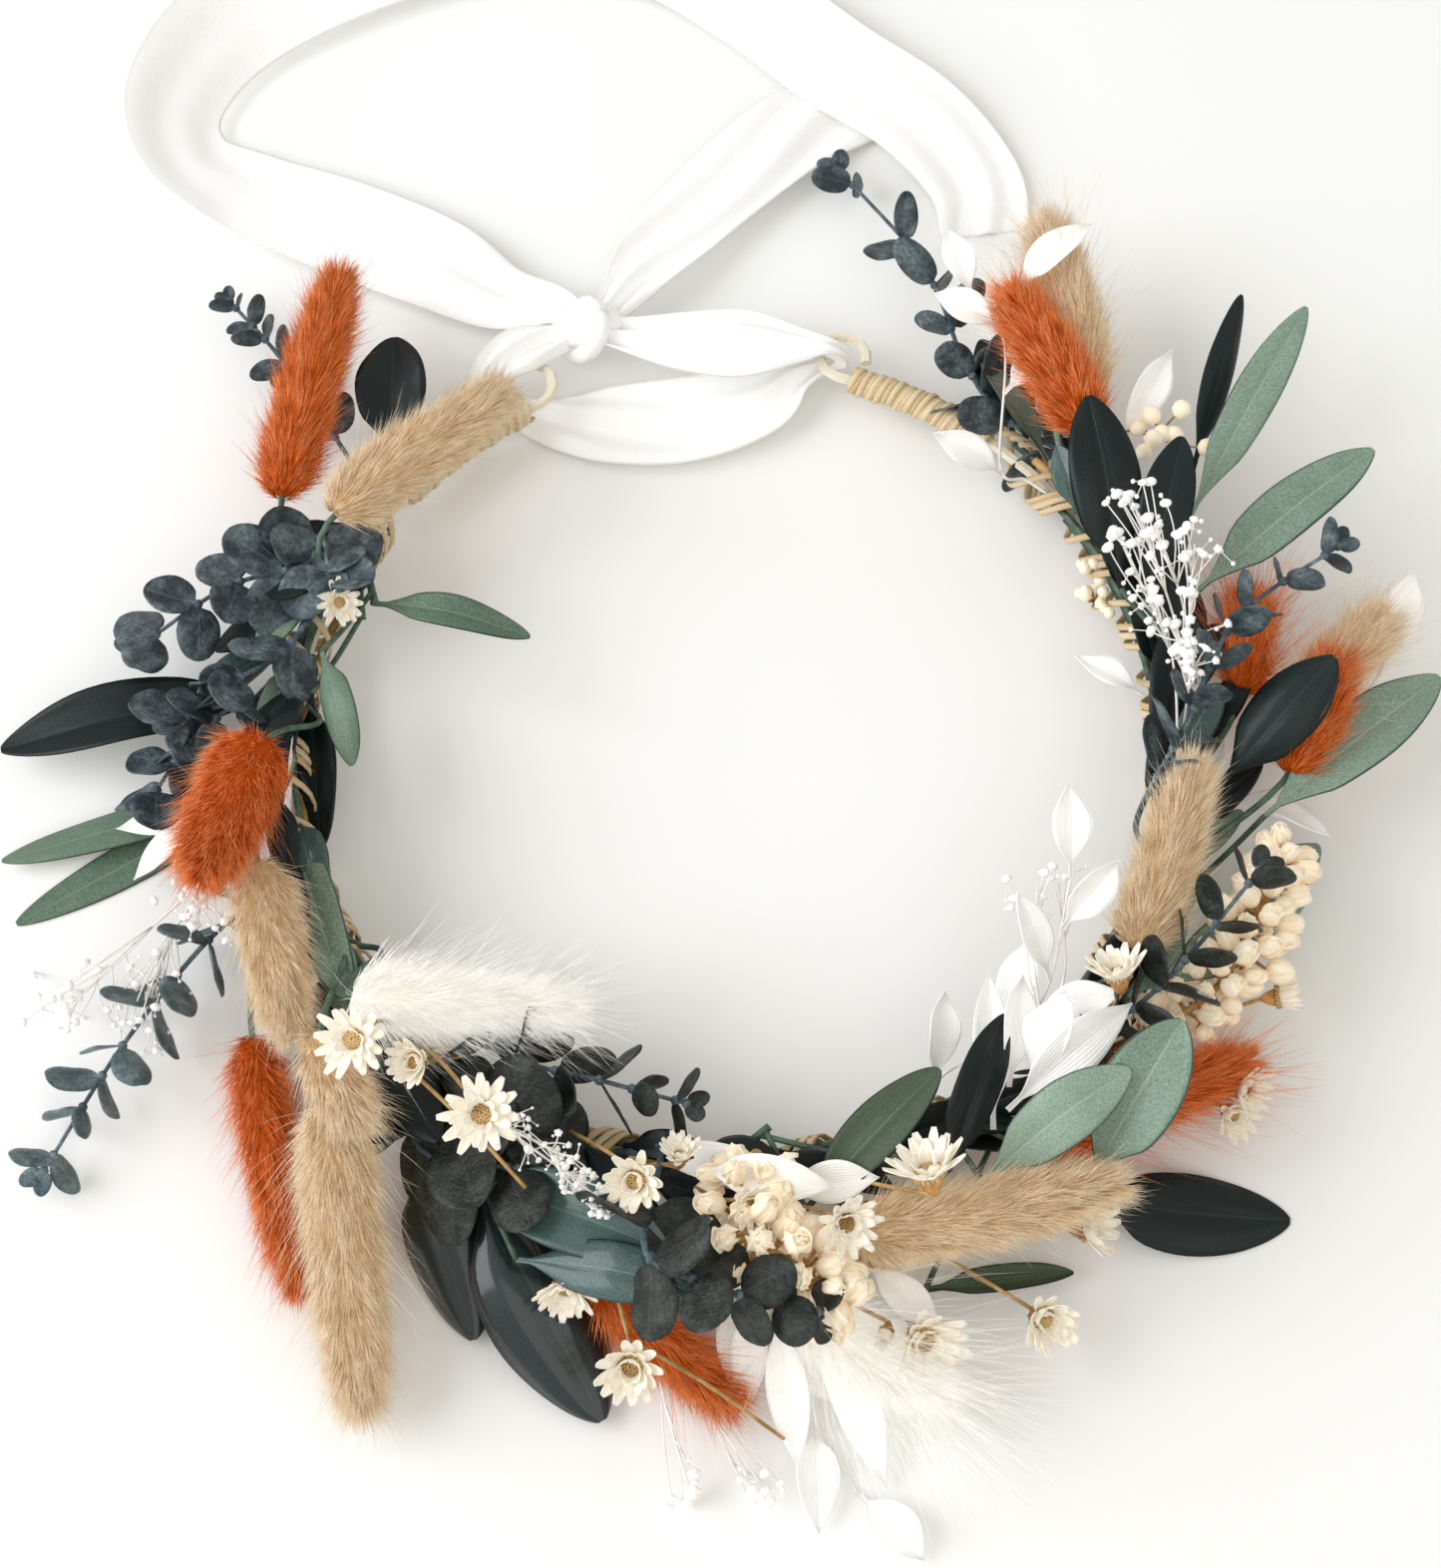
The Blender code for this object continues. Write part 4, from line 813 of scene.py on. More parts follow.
def makeEucalyptusSprig(number, look, wanted, place, way, spine, pairs, firstLeaf, lastLeaf, bare, level):
    # leaves stand in pairs on opposite sides of the stem, each pair a quarter turn on from the one before
    rng = np.random.default_rng(100 + number)
    foot = stemFoot(wanted, place, way)
    points = [*foot, *(at(*p) for p in spine)]
    path = curveThrough(points, 48)
    stem = tubes(path, np.linspace(0.85, 0.4, 48) * mm, 8, 0.5)
    firstSpot = (len(foot) - 1) / (len(points) - 1)
    ahead, side, upper = framesAlong(path, (0, 0, 1))
    leaves, joints = [], []
    toSky = np.array([0, -0.25, 1.0])
    for pair in range(pairs):
        share = pair / max(1, pairs - 1)
        spot = int((firstSpot + (1 - firstSpot) * (bare + (0.97 - bare) * share)) * 47)
        radius = (firstLeaf + (lastLeaf - firstLeaf) * share) * mm
        joints.append(path[spot])
        for half in (0, 180):
            turn = np.radians(45 + 90 * pair + half + rng.uniform(-15, 15))
            lean = np.radians(rng.uniform(22, 48))
            out = unit(side[spot] * np.cos(turn) + upper[spot] * np.sin(turn) * (1 - 0.75 * level))
            along = unit(out * np.cos(lean) + ahead[spot] * np.sin(lean))
            normal = unit(np.cross(np.cross(along, ahead[spot]), along))
            skyward = toSky - along * (toSky @ along)
            normal = unit(-normal * (1 - level) + unit(skyward) * (0.15 + level) + rng.normal(0, 0.12, 3))
            size = radius * rng.uniform(0.88, 1.1)
            narrow = rng.uniform(0.78, 0.95) if level > 0.4 else rng.uniform(0.48, 0.66)
            leaves.append(roundLeaf(path[spot], along, normal, size, narrow, rng))
    joints.append(path[-1])
    tipLeaf = unit(ahead[-1] + [0, 0, 0.2])
    for turn in (-0.6, 0.6):
        along = unit(tipLeaf + side[-1] * turn)
        leaves.append(roundLeaf(path[-1], along, np.array([0, -0.2, 1.0]), lastLeaf * 0.55 * mm, 0.7, rng))
    for leaf in leaves:
        leaf["points"][:, 2] = np.maximum(leaf["points"][:, 2], 0.25 * mm)
    nodes = [f"eucalyptus_{number}"] if f"eucalyptus_{number}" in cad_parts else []
    newPiece(f"eucalyptusLeaves{number}", leaves, [eucalyptusLooks[look]], nodes, 0.35 * mm)
    knots = balls(joints, 1.0 * mm, 6, 8)
    newPiece(f"eucalyptusTwig{number}", [stem, knots], [eucalyptusTwig])


for row in eucalyptus:
    makeEucalyptusSprig(*row)
print("eucalyptus in")


# number, look, leaves the binding at, place, way, and its leaves: start (or on the stem), tip, width,
# roll in degrees and arch in mm
ruscus = [
    (1, "dark", 166, 7, 1, [(None, (180, 150, 6), 14, 0, 6)]),
    (2, "green", 177, 7, 1, [(None, (189, 150, 3), 8.5, 10, 1), (None, (194, 149, 0.35), 9.5, 0, -3)]),
    (3, "green", 148, 4, 1, [
        ((160, 78, 20), (155, 45, 20), 7.5, 0, 4), ((170, 84, 22), (188, 76, 22), 7.5, 30, 2),
    ]),
    (4, "dark", 158, 5, 1, [((174, 86, 14), (195, 86, 6), 10, 20, 2)]),
    (5, "glossy", 232, 7, 1, [
        ((236, 107, 15), (248, 131, 3), 17, 5, 2), ((243, 107, 17), (260, 139, 4), 21, -12, 3),
    ]),
    (6, "glaucous", 236, 1, 1, [
        ((243, 107, 20), (264, 111, 27), 15, 10, 3), ((250, 117, 19), (268, 119, 28), 11, 0, 6),
    ]),
    (7, "dark", 276, 3, 1, [
        ((278, 101, 18), (297, 86, 31), 10.5, 180, 3), ((293, 103, 22), (308, 84, 32), 10, 25, 3),
    ]),
    (8, "sage", 289, 2, 1, [
        ((305, 117, 24), (320, 109, 40), 15.5, 0, 3), ((296, 107, 24), (313, 108, 38), 12, 0, 5),
    ]),
    (9, "dark", 297, 7, 1, [
        ((305, 117, 11), (318, 146, 0.35), 16, 0, -2), ((288, 119, 9), (301, 127, 5), 5.5, 180, 1),
    ]),
    (10, "sage", 338, 0, 1, [
        ((349, 108, 20), (4, 144, 20), 14, -10, 3), ((338, 106, 10), (350, 121, 6), 11, 0, 1),
    ]),
    (11, "dark", 8, 1, 1, [
        ((20, 85, 22), (42, 99, 36), 14.5, 0, 4), ((17, 88, 24), (32, 109, 34), 11, 5, 3),
    ]),
    (12, "sage", 13, 0, 1, [
        ((26, 106, 20), (37, 152, 30), 9.5, 15, 4), ((17, 100, 20), (24, 146, 26), 12.5, 0, 4),
    ]),
]
ruscusLooks = {
    "dark": ([darkLeaf, darkUnder], "ruscus_dark"),
    "glossy": ([glossyLeaf, darkUnder], "ruscus_dark"),
    "sage": ([sageLeaf, sageUnder], "ruscus_sage"),
    "green": ([greenLeaf, sageUnder], "ruscus_sage"),
    "glaucous": ([glaucousLeaf, sageUnder], "ruscus_sage"),
}


def lanceLeaf(start, tip, width, roll, arch, rng, cup=None, columns=11, blunt=0.62, ripple=0.07):
    # the blade arches by a parabola from its stalk to its tip; half width = sin(pi t^1.1)^blunt, and thin
    # at the stalk
    t = 0.5 - 0.5 * np.cos(np.pi * np.linspace(0, 1, 30))
    middle = (start + tip) / 2 + np.array([0, 0, arch * mm])
    path = onCurve([start, middle, tip], t * 2)
    swell = np.sin(np.pi * np.clip(t**1.1 * 0.985 + 0.01, 0, 1)) ** blunt
    stalk = np.clip((t - 0.03) / 0.25, 0, 1) ** 0.8
    half = np.maximum(width / 2 * swell * stalk, 0.45 * (1 - t) + 0.1) * mm
    cup = rng.uniform(-0.45, 0.3) if cup is None else cup
    leaf = leafSurface(path, half, cup, roll, rng.uniform(-24, 24), ripple, 0.1, columns, rng.random())
    leaf["points"][:, 2] = np.maximum(leaf["points"][:, 2], 0.3 * mm)
    return leaf


def makeRuscus(number, look, wanted, place, way, leaves):
    # one main stem out of the binding, and a thinner stem from it to each leaf that starts further off
    rng = np.random.default_rng(200 + number)
    materials, slotName = ruscusLooks[look]
    foot = stemFoot(wanted, place, way)
    blades = []
    stems = [tubes(curveThrough(foot, 16), 0.85 * mm, 8)]
    for count, (start, tip, width, roll, arch) in enumerate(leaves):
        joint = foot[-1] - (foot[-1] - foot[-2]) * (0.15 + 0.25 * count)
        if start:
            sag = (joint + at(*start)) / 2 - [0, 0, mm]
            stems.append(tubes(curveThrough([joint, sag, at(*start)], 10), 0.6 * mm, 7))
            joint = at(*start)
        cup = -0.5 if look == "glossy" else None
        blades.append(lanceLeaf(joint, at(*tip), width, roll, arch, rng, cup))
    newPiece(f"ruscusLeaves{number}", blades, materials, [f"ruscus_{number}"], 0.4 * mm, 1)
    newPiece(f"ruscusStem{number}", stems, [greenStem])


for row in ruscus:
    makeRuscus(*row)

# single leaves tucked into the garland: look, start, tip, width, roll, arch
tuckedLeaves = [
    ("dark", (138, 97, 14), (128, 117, 17), 15, 10, 2),
    ("sage", (190, 91, 12), (221, 97, 17), 10, 20, 3),
    ("dark", (352, 99, 21), (3, 119, 37), 13.5, 10, 3),
    ("dark", (31, 113, 20), (42, 147, 24), 6.5, 20, 2), ("dark", (272, 94, 16), (283, 94, 21), 7, 30, 1),
    ("dark", (218, 95, 14), (238, 104, 23), 14, 10, 3),
    ("dark", (172, 92, 12), (186, 97, 22), 14, 20, 3), ("dark", (150, 93, 12), (164, 98, 22), 14, 0, 3),
    ("sage", (325, 100, 20), (344, 120, 12), 11, 10, 2),
    ("dark", (355, 88, 16), (14, 95, 22), 11, 30, 2), ("dark", (20, 88, 14), (31, 92, 20), 10, 20, 2),
    ("sage", (286, 96, 16), (289, 92, 22), 11, 15, 3), ("dark", (318, 92, 14), (332, 92, 24), 9, 20, 2),
    ("sage", (322, 96, 16), (334, 98, 24), 8, 0, 2),
]

# short leaves all along the binding, over the stems: how many, between which degrees, and in mm their
# least and greatest length and width
filler = {"count": 78, "from": 146, "to": 412, "length": (15, 26), "width": (6, 9.5)}


def makeTuckedLeaves():
    # the single leaves, then the short ones at random places along and round the binding
    rng = np.random.default_rng(31)
    grouped = {look: [] for look in ruscusLooks}
    for look, start, tip, width, roll, arch in tuckedLeaves:
        grouped[look].append(lanceLeaf(at(*start), at(*tip), width, roll, arch, rng))
    low, high = filler["from"], filler["to"]
    for k in range(filler["count"]):
        angle = low + (high - low) * (k + rng.random()) / filler["count"]
        around = rng.uniform(5, 120)
        start = besideWire(angle, around, 4.5)
        outward, onward = at(angle, 1, 0) - hoopMiddle, at(angle + 90, 1, 0) - hoopMiddle
        heading = onward + outward * rng.uniform(-0.1, 0.75) + np.array([0, 0, mm]) * rng.uniform(-0.05, 0.4)
        heading = unit(heading)
        tip = start + heading * rng.uniform(*filler["length"]) * mm
        look = ("dark", "dark", "dark", "sage", "glaucous")[rng.integers(5)]
        width, roll = rng.uniform(*filler["width"]), rng.uniform(-40, 40)
        grouped[look].append(lanceLeaf(start, tip, width, roll, 2, rng))
    for look, blades in grouped.items():
        if blades:
            materials, slotName = ruscusLooks[look]
            name = f"tuckedLeaves{look.capitalize()}"
            newPiece(name, blades, materials, thick=0.4 * mm, underLook=1)


makeTuckedLeaves()
print("ruscus in")


# number, leaves the binding at, place, way, spine, leaf count, leaf length and width in mm
bleachedSprigs = [
    (1, 299, 3, 1, [(314, 85, 22), (329, 76, 34)], 7, 19, 8),
    (2, 346, 7, 1, [(357, 118, 8), (6, 134, 12)], 5, 21, 9),
    (3, 47, 3, 1, [(56, 104, 24), (62, 110, 25)], 4, 17, 7),
    (4, 262, 7, 1, [(272, 116, 2), (279, 152, 0.9)], 7, 20, 9),
]

# loose white leaves: start, tip, width, roll, arch
whiteLeaves = [
    ((6, 85, 14), (14, 73, 14), 6, 10, 1), ((266, 95, 26), (281, 101, 30), 9, 20, 2),
    ((258, 89, 14), (278, 97, 18), 8, 0, 3), ((276, 97, 16), (286, 100, 26), 8, 15, 3),
    ((190, 104, 12), (188, 126, 6), 6, 0, 2), ((189, 106, 13), (193, 124, 4), 6, 10, 2),
    ((58, 112, 30), (55, 134, 34), 8, 0, 3), ((48, 102, 16), (60, 112, 20), 6, 0, 2),
    ((274, 118, 12), (275, 146, 2), 8, 0, 2), ((278, 116, 12), (281, 152, 2), 9, 10, 3),
    ((272, 114, 10), (271, 136, 3), 7, -10, 2), ((38, 104, 18), (42, 126, 25), 8, 20, 2),
    ((181, 88, 20), (194, 92, 8), 6, 70, 1), ((283, 112, 14), (288, 128, 10), 7, 10, 2),
    ((300, 99, 22), (312, 74, 24), 7.5, 10, 3), ((302, 98, 26), (320, 99, 31), 10, 20, 4),
    ((306, 96, 24), (316, 88, 31), 10, -20, 4), ((304, 94, 24), (314, 80, 30), 8, 30, 3),
]


def makeBleached(number, wanted, place, way, spine, count, length, width):
    # leaves stand on alternate sides of the stem's outer part, and the last one ends it
    rng = np.random.default_rng(300 + number)
    points = [*stemFoot(wanted, place, way), *(at(*p) for p in spine)]
    path = curveThrough(points, 40)
    ahead, side, upper = framesAlong(path, (0, 0, 1))
    leaves = []
    for k in range(count):
        spot = int(39 * (0.58 + 0.42 * k / (count - 1)))
        out = side[spot] * (1 if k % 2 else -1) * (0.25 if k == count - 1 else rng.uniform(0.5, 0.95))
        heading = unit(ahead[spot] + out + upper[spot] * rng.uniform(-0.1, 0.45))
        tip = path[spot] + heading * length * mm * rng.uniform(0.85, 1.15)
        tip[2] = max(tip[2], 0.5 * mm)
        roll, cup = rng.uniform(-35, 35), rng.uniform(0.15, 0.5)
        leaves.append(lanceLeaf(path[spot], tip, width, roll, 1.5, rng, cup, 9, 1.15, 0.12))
    nodes = [f"bleached_ruscus_{number}"]
    newPiece(f"bleachedLeaves{number}", leaves, [bleached], nodes, 0.2 * mm)
    stem = tubes(path, np.linspace(0.5, 0.22, 40) * mm, 7)
    newPiece(f"bleachedStem{number}", [stem], [whiteTwig])


for row in bleachedSprigs:
    makeBleached(*row)
whiteRng = np.random.default_rng(33)
loose = []
for start, tip, width, roll, arch in whiteLeaves:
    loose.append(lanceLeaf(at(*start), at(*tip), width, roll, arch, whiteRng, 0.3, 9, 1.15, 0.12))
newPiece("looseWhiteLeaves", loose, [bleached], thick=0.2 * mm)
print("bleached leaves in")


# number, leaves the binding at, place, and its blooms: place, radius in mm, facing as world azimuth and
# elevation, openness
starBranches = [
    (1, 224, 2, [
        ((227, 102, 42), 7.2, 240, 60, 0.9), ((233, 97, 38), 6.6, 230, 60, 0.35),
        ((243, 100, 43), 7.6, 270, 70, 0.92),
    ]),
    (2, 240, 2, [((260, 101, 36), 7.4, 250, 60, 0.5), ((262, 132, 23), 8.0, 260, 58, 0.5)]),
    (3, 279, 0, [
        ((286, 129, 15), 9.0, 300, 45, 0.62), ((296, 133, 13), 7.6, 300, 52, 0.42),
        ((303, 123, 16), 7.2, 350, 35, 0.5),
    ]),
    (4, 316, 7, [((332, 121, 15), 6.0, 0, 20, 0.2), ((323, 124, 13), 6.4, 320, 40, 0.5)]),
]

# blooms that stand on the binding between the branches: start, then as above
looseBlooms = [
    ((283, 97, 20), (290, 105, 38), 8.4, 115, 48, 0.62),
    ((315, 92, 18), (321, 94, 34), 7.0, 110, 50, 0.6),
    ((250, 100, 14), (255, 119, 18), 6.8, 270, 20, 0.7),
    ((258, 94, 16), (264, 92, 24), 5.0, 90, 60, 0.6),
    ((266, 96, 18), (272, 103, 32), 5.6, 300, 55, 0.65),
    ((276, 100, 18), (281, 109, 34), 6.8, 300, 58, 0.7),
    ((158, 92, 16), (162, 84, 22), 5.2, 300, 50, 0.7),
    ((278, 112, 14), (283, 127, 20), 4.0, 250, 30, 0.1),
    ((318, 100, 14), (321, 125, 9), 6.0, 300, 45, 0.55),
]

# two long stems that lost their blooms, and one thick cut end: start, end, radius
bareStalks = [
    ((232, 98, 34), (249, 106, 29), 0.4), ((262, 128, 26), (274, 141, 6), 0.38),
    ((279, 105, 18), (286, 118, 12), 1.0),
]

# the whorls of one bloom: petals, where they start and their length in radii, lift when closed and open
# in degrees
bloomShape = {
    "whorls": [(12, 0.26, 0.8, 72, 6), (10, 0.24, 0.68, 80, 22), (7, 0.18, 0.46, 90, 44)],
    "petalWidth": 0.28, "heart": 0.36, "heartFlorets": 80,
}


def basisOf(facing):
    # two directions square to `facing` and to each other
    first = unit(np.cross(facing, [0.3, 0.2, 1.0]))
    return first, np.cross(facing, first)


def petalWhorl(middle, facing, radius, count, inner, length, lift, width, curl, rng, rows=6, columns=5):
    # a petal starts on a small circle and runs out at its lift, which changes by curl along it; its half
    # width is width radii * sin^0.65 along it, and it is cupped by 0.35 * u^2 half widths
    first, second = basisOf(facing)
    turn = (np.arange(count) + rng.random()) / count * 2 * np.pi + rng.normal(0, 0.07, count)
    out = np.cos(turn)[:, None] * first + np.sin(turn)[:, None] * second
    around = np.cross(facing, out)
    size = radius * length * rng.uniform(0.88, 1.1, count)
    t = np.linspace(0, 1, rows)
    angle = np.radians(lift + rng.normal(0, 6, count)[:, None] + curl * t[None])
    step = size[:, None] / (rows - 1)
    r = radius * inner + np.concatenate([np.zeros((count, 1)), np.cumsum(np.cos(angle[:, 1:]) * step, 1)], 1)
    z = np.concatenate([np.zeros((count, 1)), np.cumsum(np.sin(angle[:, 1:]) * step, 1)], 1)
    shape = np.sin(np.pi * (0.14 + 0.77 * t)) ** 0.65
    half = radius * width * shape * rng.uniform(0.9, 1.1, count)[:, None]
    u = np.linspace(-1, 1, columns)
    lifted = out[:, None] * (-np.sin(angle))[..., None] + facing * np.cos(angle)[..., None]
    points = middle + out[:, None, None] * r[..., None, None] + facing * z[..., None, None]
    points = points - around[:, None, None] * (half[..., None] * u)[..., None]
    points = points + lifted[:, :, None] * (half[..., None] * 0.35 * u**2)[..., None]
    tint = np.broadcast_to(rng.random(count)[:, None, None], points.shape[:3])
    grain = np.stack(np.broadcast_arrays(u[None, None], t[None, :, None], tint), -1)
    faces = copies(gridFaces(rows, columns), rows * columns, count)
    return part(points, [faces], grain)


def bloom(middle, radius, azimuth, elevation, openness, rng):
    # each whorl's lift goes from shut to wide with the openness, and its petals curl in less
    a, e = math.radians(azimuth), math.radians(elevation)
    facing = np.array([math.cos(a) * math.cos(e), math.sin(a) * math.cos(e), math.sin(e)])
    radius = radius * mm
    petals = []
    for count, inner, length, shut, wide in bloomShape["whorls"]:
        lift = shut + (wide - shut) * openness
        curl = 14 * openness + 22 * (1 - openness)
        width = bloomShape["petalWidth"] / 2
        petals.append(petalWhorl(middle, facing, radius, count, inner, length, lift, width, curl, rng))
    # the heart: florets at 137.5 degrees from each other, on a low dome
    k = np.arange(bloomShape["heartFlorets"]) + 0.5
    r = bloomShape["heart"] * np.sqrt(k / len(k))
    turn = np.radians(137.5) * k
    first, second = basisOf(facing)
    flat = first * (r * np.cos(turn))[:, None] + second * (r * np.sin(turn))[:, None]
    spots = middle + radius * (flat + facing * (0.12 - 1.2 * r**2)[:, None])
    heart = balls(spots, radius * 0.055, 4, 5, facing, 1.8, rng.random(len(k)), look=0)
    # the calyx: a small cup that closes on the stem
    t = np.linspace(0, 1, 7)
    cupPath = middle - facing * (radius * 0.62 * (1 - t))[:, None] + facing * radius * 0.02
    cupRadius = radius * np.interp(t, [0, 0.3, 0.7, 1], [0.07, 0.2, 0.29, 0.26])
    cup = tubes(cupPath, cupRadius, 12, rng.random(), pointed=(False, True))
    return petals, heart, cup, cupPath[0]


def stalk(start, end, thick, rise, rng):
    # a thin stem whose middle point is raised by `rise` mm and a little off line
    middle = (start + end) / 2 + np.array([0, 0, rise * mm]) + rng.normal(0, 0.8 * mm, 3)
    return tubes(curveThrough([start, middle, end], 16), thick * mm, 6, rng.random())


def finishBlooms(name, petals, hearts, cups, stalks, nodes=()):
    # four pieces, because each has its own look
    newPiece(name + "Petals", petals, [petal], nodes, 0.16 * mm)
    newPiece(name + "Hearts", hearts, [heartStraw])
    newPiece(name + "Cups", cups, [calyxBrown])
    newPiece(name + "Stalks", stalks, [strawStem])


def makeStarFlowers():
    # each bloom has its own thin stalk from its branch's foot, and the loose ones stand on the binding
    rng = np.random.default_rng(41)
    for number, wanted, place, blooms in starBranches:
        foot = stemFoot(wanted, place, 1)
        petals, hearts, cups, stalks = [], [], [], [tubes(curveThrough(foot, 14), 0.7 * mm, 7)]
        for count, (spot, radius, azimuth, elevation, openness) in enumerate(blooms):
            made, heart, cup, under = bloom(at(*spot), radius, azimuth, elevation, openness, rng)
            petals += made
            hearts.append(heart)
            cups.append(cup)
            stalks.append(stalk(foot[-1] - (foot[-1] - foot[-2]) * 0.1 * (count + 1), under, 0.42, 2, rng))
        finishBlooms(f"starFlower{number}", petals, hearts, cups, stalks, [f"star_flower_{number}"])
    petals, hearts, cups, stalks = [], [], [], []
    for start, spot, radius, azimuth, elevation, openness in looseBlooms:
        made, heart, cup, under = bloom(at(*spot), radius, azimuth, elevation, openness, rng)
        petals += made
        hearts.append(heart)
        cups.append(cup)
        stalks.append(stalk(at(*start), under, 0.42, 1, rng))
    for start, end, thick in bareStalks:
        stalks.append(stalk(at(*start), at(*end), thick, 0.5, rng))
    finishBlooms("looseStarFlower", petals, hearts, cups, stalks)


makeStarFlowers()

# number, leaves the binding at, place, spine, bud count, bud radius and spread round the spine in mm
budClusters = [
    (1, 266, 2, [(271, 105, 25), (276, 114, 28), (280, 122, 25)], 66, 4.9, 10.5),
    (2, 320, 0, [(328, 109, 18), (337, 111, 21), (346, 113, 21)], 70, 4.0, 8.0),
]


# a bud's two whorls: start along the bud in radii, petals, where they start and their length in radii,
# lift in degrees, half width in radii, curl in degrees
budWhorls = [(0.0, 4, 0.28, 1.25, 66, 0.52, 48), (0.15, 3, 0.18, 1.15, 74, 0.46, 50)]


def makeBuds(number, wanted, place, spine, count, radius, spread):
    # buds turn round the spine by 137.5 degrees each; a bud is two whorls of broad petals, closed over
    # each other
    rng = np.random.default_rng(50 + number)
    path = curveThrough([*stemFoot(wanted, place, 1), *(at(*p) for p in spine)], 60)
    ahead, side, upper = framesAlong(path, (0, 0, 1))
    petals, stalks = [], [tubes(path, 0.75 * mm, 7)]
    for k in range(count):
        share = k / (count - 1)
        spot = int(59 * (0.55 + 0.45 * share))
        turn = math.radians(137.5 * k)
        reach = spread * math.sin(math.pi * (0.2 + 0.75 * share)) ** 0.6
        out = side[spot] * math.cos(turn) + upper[spot] * math.sin(turn)
        facing = unit(out + ahead[spot] * rng.uniform(0.2, 0.8) + np.array([0, 0, 0.2]))
        base = path[spot] + out * reach * rng.uniform(0.35, 0.75) * mm
        size = radius * mm * rng.uniform(0.85, 1.15)
        base[2] = max(base[2], size * 0.8)
        for rise, *whorl in budWhorls:
            petals.append(petalWhorl(base + facing * size * rise, facing, size, *whorl, rng))
        stalks.append(stalk(path[spot], base, 0.4, 0, rng))
    newPiece(f"budCluster{number}Scales", petals, [budScale], [f"bud_cluster_{number}"], 0.2 * mm)
    newPiece(f"budCluster{number}Stalks", stalks, [strawStem])


for row in budClusters:
    makeBuds(*row)

# middle, berry count, berry radius and spread in mm
berryClusters = [((36, 111, 24), 11, 2.1, 7.0), ((29, 86, 10), 9, 1.3, 4.0), ((24, 84, 10), 8, 1.3, 4.0)]


def makeBerries():
    # small balls scattered round a middle, each on its own thin stem from below it
    rng = np.random.default_rng(61)
    berries, stalks = [], []
    for spot, count, radius, spread in berryClusters:
        middle = at(*spot)
        spots = middle + rng.normal(0, spread / 2 * mm, (count, 3)) * [1, 1, 0.7]
        spots[:, 2] = np.maximum(spots[:, 2], radius * mm)
        size = radius * mm * rng.uniform(0.8, 1.1, count)
        berries.append(balls(spots, size, 7, 9, (0, 0, 1), 1.0, rng.random(count)))
        stalks += [stalk(middle - [0, 0, 0.004], s, 0.25, 0, rng) for s in spots]
    newPiece("creamBerries", berries, [budScale])
    newPiece("creamBerryStalks", stalks, [strawStem])


makeBerries()
print("flowers and buds in")


# name, start, floret radius in mm, the node it stands for, and each tuft's middle, spread in mm and number
# of florets
sprays = [
    ("gypsophila1", (4, 94, 20), 1.0, "gypsophila_1", [
        ((21, 84, 38), 5, 9), ((26, 89, 42), 4.5, 8), ((17, 96, 43), 5, 7), ((11, 91, 42), 5, 7),
        ((21, 90, 44), 5, 9), ((7, 88, 38), 5, 8), ((3, 91, 36), 4, 5),
    ]),
    ("gypsophila2", (354, 90, 20), 0.85, None, [((5, 92, 36), 5, 12), ((14, 86, 36), 4, 10)]),
    ("gypsophila3", (312, 90, 20), 0.8, None, [
        ((326, 71, 32), 5, 5), ((322, 72, 30), 4, 4), ((329, 74, 28), 3, 3),
    ]),
    ("gypsophila4", (244, 96, 24), 0.65, None, [
        ((247, 98, 33), 4, 10), ((252, 100, 35), 4, 14), ((255, 103, 33), 4, 12), ((257, 107, 30), 3, 8),
    ]),
    ("gypsophila5", (194, 98, 16), 0.8, None, [
        ((200, 113, 20), 6, 20), ((206, 128, 12), 7, 22), ((203, 142, 7), 7, 18), ((197, 104, 24), 4, 12),
    ]),
    ("gypsophila6", (262, 112, 8), 1.0, None, [((267, 150, 4), 4, 6), ((271, 150, 4), 5, 7)]),
]


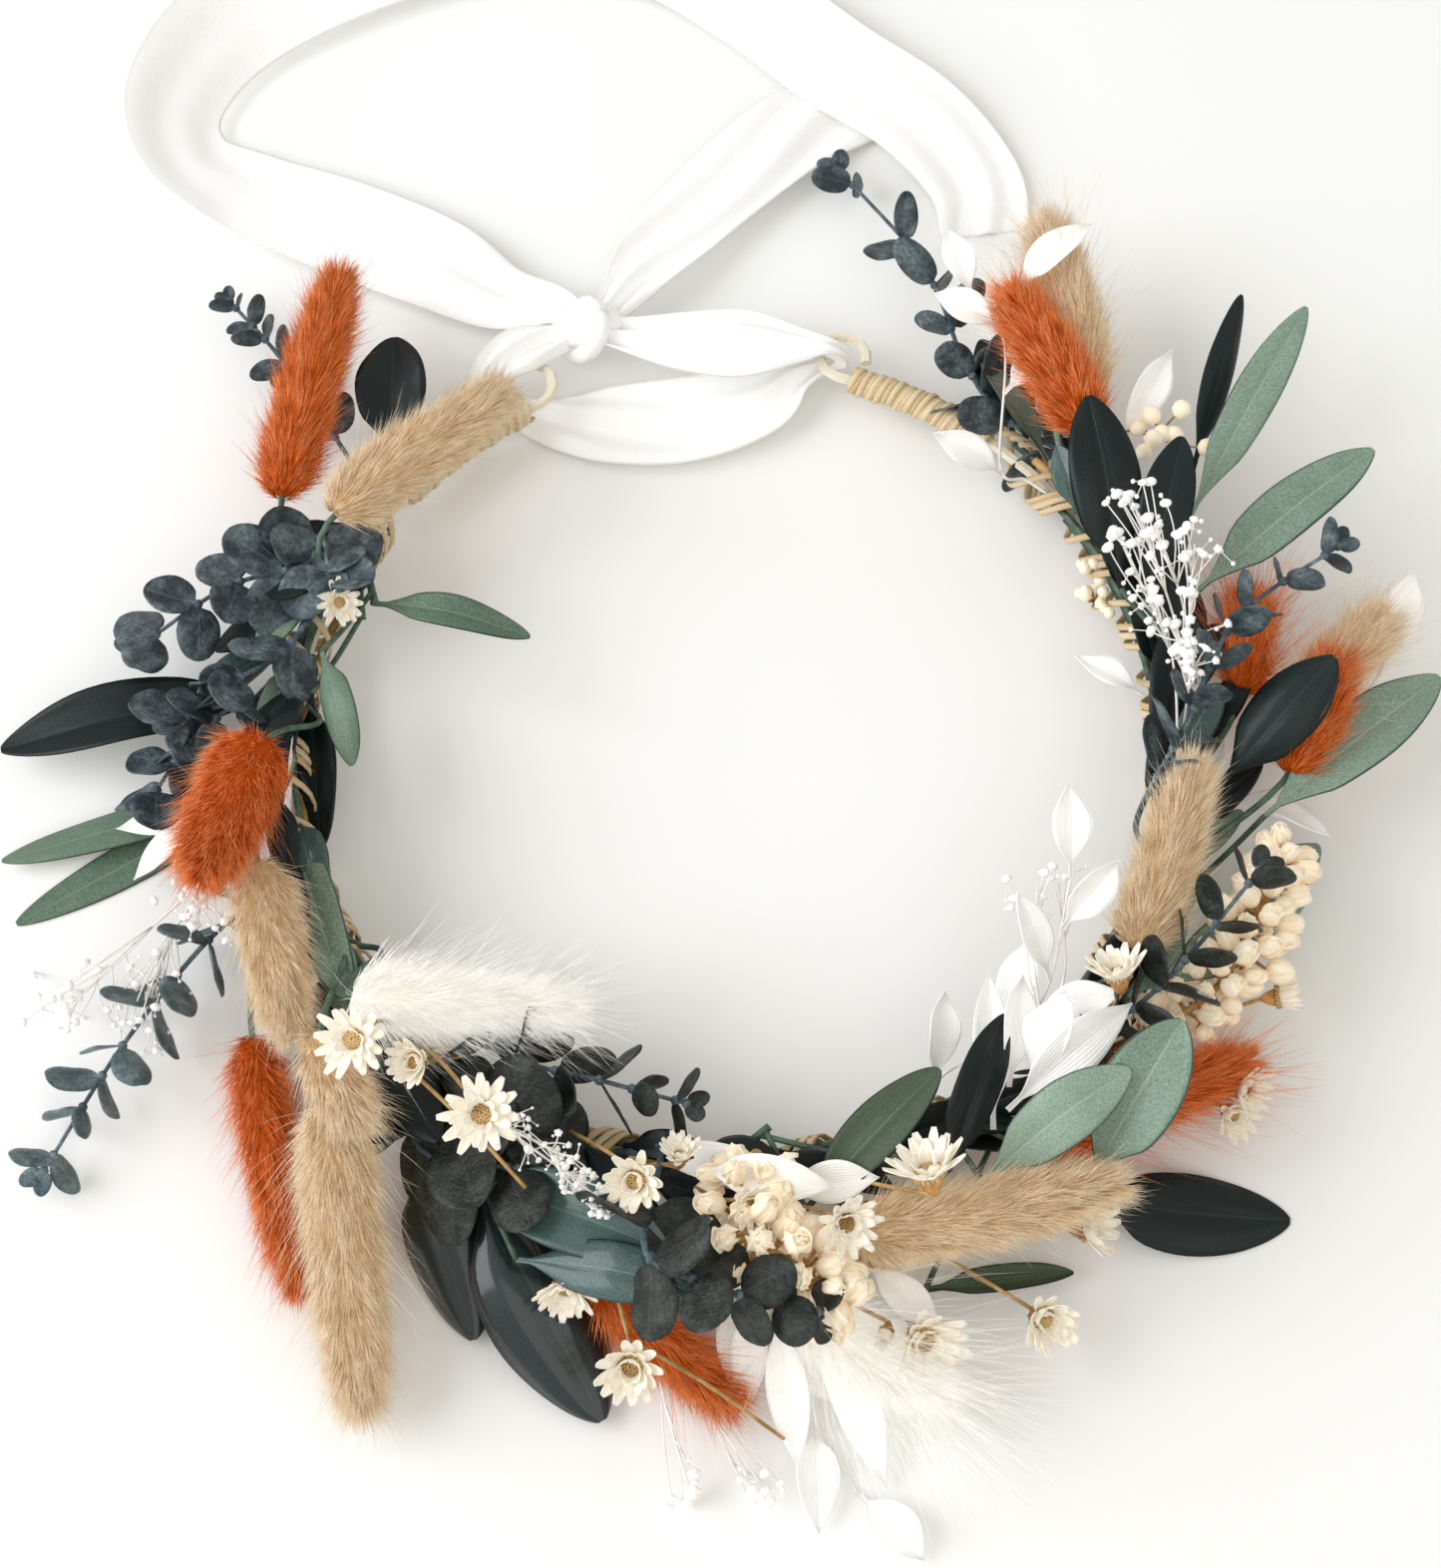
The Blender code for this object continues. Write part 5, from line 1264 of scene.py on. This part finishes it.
def makeSpray(name, start, radius, node, tufts, seed):
    # a branch to each tuft, and from its outer half a thin twig to each floret, with a small bud beside it
    rng = np.random.default_rng(seed)
    begin = at(*start)
    twigs, florets = [], []
    for spot, spread, count in tufts:
        middle = at(*spot)
        mainPath = curveThrough([begin, (begin + middle) / 2 + rng.normal(0, 1.5 * mm, 3), middle], 14)
        twigs.append(tubes(mainPath, np.linspace(0.34, 0.18, 14) * mm, 5))
        ends = middle + rng.normal(0, spread * mm * 0.6, (count, 3)) * [1, 1, 0.7]
        ends[:, 2] = np.maximum(ends[:, 2], radius * 1.1 * mm)
        roots = mainPath[rng.integers(7, 13, count)]
        bends = (roots + ends) / 2 + rng.normal(0, 0.9 * mm, (count, 3)) + [0, 0, 0.0006]
        t = np.linspace(0, 1, 7)[None, :, None]
        paths = roots[:, None] * (1 - t) ** 2 + bends[:, None] * 2 * t * (1 - t) + ends[:, None] * t**2
        twigs.append(tubes(paths, np.linspace(0.19, 0.14, 7) * mm, 4))
        facing = unit(ends - roots + rng.normal(0, 0.3 * mm, (count, 3)))
        size = radius * mm * rng.uniform(0.7, 1.15, count)
        florets.append(balls(ends, size, 6, 10, facing, 0.9, rng.random(count), lobes=0.35))
        side = ends[:, None] + rng.normal(0, 1.5 * mm, (count, 1, 3))
        side[..., 2] = np.maximum(side[..., 2], 0.6 * mm)
        florets.append(balls(side.reshape(-1, 3), radius * 0.5 * mm, 5, 6, (0, 0, 1), 1.2, 0.5))
        t = np.linspace(0, 1, 4)[None, :, None]
        links = (ends[:, None, None] * (1 - t[None]) + side[:, :, None] * t[None]).reshape(-1, 4, 3)
        twigs.append(tubes(links, 0.11 * mm, 4))
    newPiece(name + "Florets", florets, [whiteBloom], [node] if node else ())
    newPiece(name + "Twigs", twigs, [whiteTwig])


for seed, row in enumerate(sprays):
    makeSpray(*row, 70 + seed)
print("baby's breath in")


stageSet = {
    "floorSize": 6.0,
    "window": {"place": (-1.45, -0.1, 0.95), "size": 1.5, "watts": 26, "color": "#f6f8ff"},
    "fill": {"place": (0.3, -1.3, 1.7), "size": 2.0, "watts": 10, "color": "#fffdf6"},
    "sky": ("#fffefa", 0.64),
    "elevation": 66.5, "distance": 0.60, "lens": 66.6, "aim": (-0.002, -0.005),
}


def makeStage():
    # a floor, a window's soft light from the left, a weaker lamp in front, an even sky, and the camera that
    # looks down on the hoop
    half = stageSet["floorSize"] / 2
    mesh = bpy.data.meshes.new("tableTop")
    corners = [(-half, -half, 0), (half, -half, 0), (half, half, 0), (-half, half, 0)]
    mesh.from_pydata(corners, [], [(0, 1, 2, 3)])
    mesh.materials.append(makeFloor())
    floor = bpy.data.objects.new("tableTop", mesh)
    bpy.context.scene.collection.objects.link(floor)
    for name in ("window", "fill"):
        rig = stageSet[name]
        lamp = bpy.data.lights.new(name, "AREA")
        lamp.size, lamp.energy = rig["size"], rig["watts"]
        lamp.color = hexColor(rig["color"])[:3]
        holder = bpy.data.objects.new(name, lamp)
        holder.location = rig["place"]
        x, y, z = rig["place"]
        holder.rotation_euler = (math.atan2(math.hypot(x, y), z), 0, math.atan2(y, x) + math.pi / 2)
        bpy.context.scene.collection.objects.link(holder)
    world = bpy.data.worlds.new("room")
    world.use_nodes = True
    color, strength = stageSet["sky"]
    world.node_tree.nodes["Background"].inputs["Color"].default_value = hexColor(color)
    world.node_tree.nodes["Background"].inputs["Strength"].default_value = strength
    bpy.context.scene.world = world
    bpy.context.scene.view_settings.view_transform = "Standard"
    camera = bpy.data.objects.new("camera", bpy.data.cameras.new("camera"))
    camera.data.lens = stageSet["lens"]
    tilt = math.radians(stageSet["elevation"])
    aim = hoopMiddle + [*stageSet["aim"], 0]
    camera.location = aim + stageSet["distance"] * np.array([0, -math.cos(tilt), math.sin(tilt)])
    camera.rotation_euler = (math.pi / 2 - tilt, 0, 0)
    bpy.context.scene.collection.objects.link(camera)
    bpy.context.scene.camera = camera


makeStage()
print("stage set")
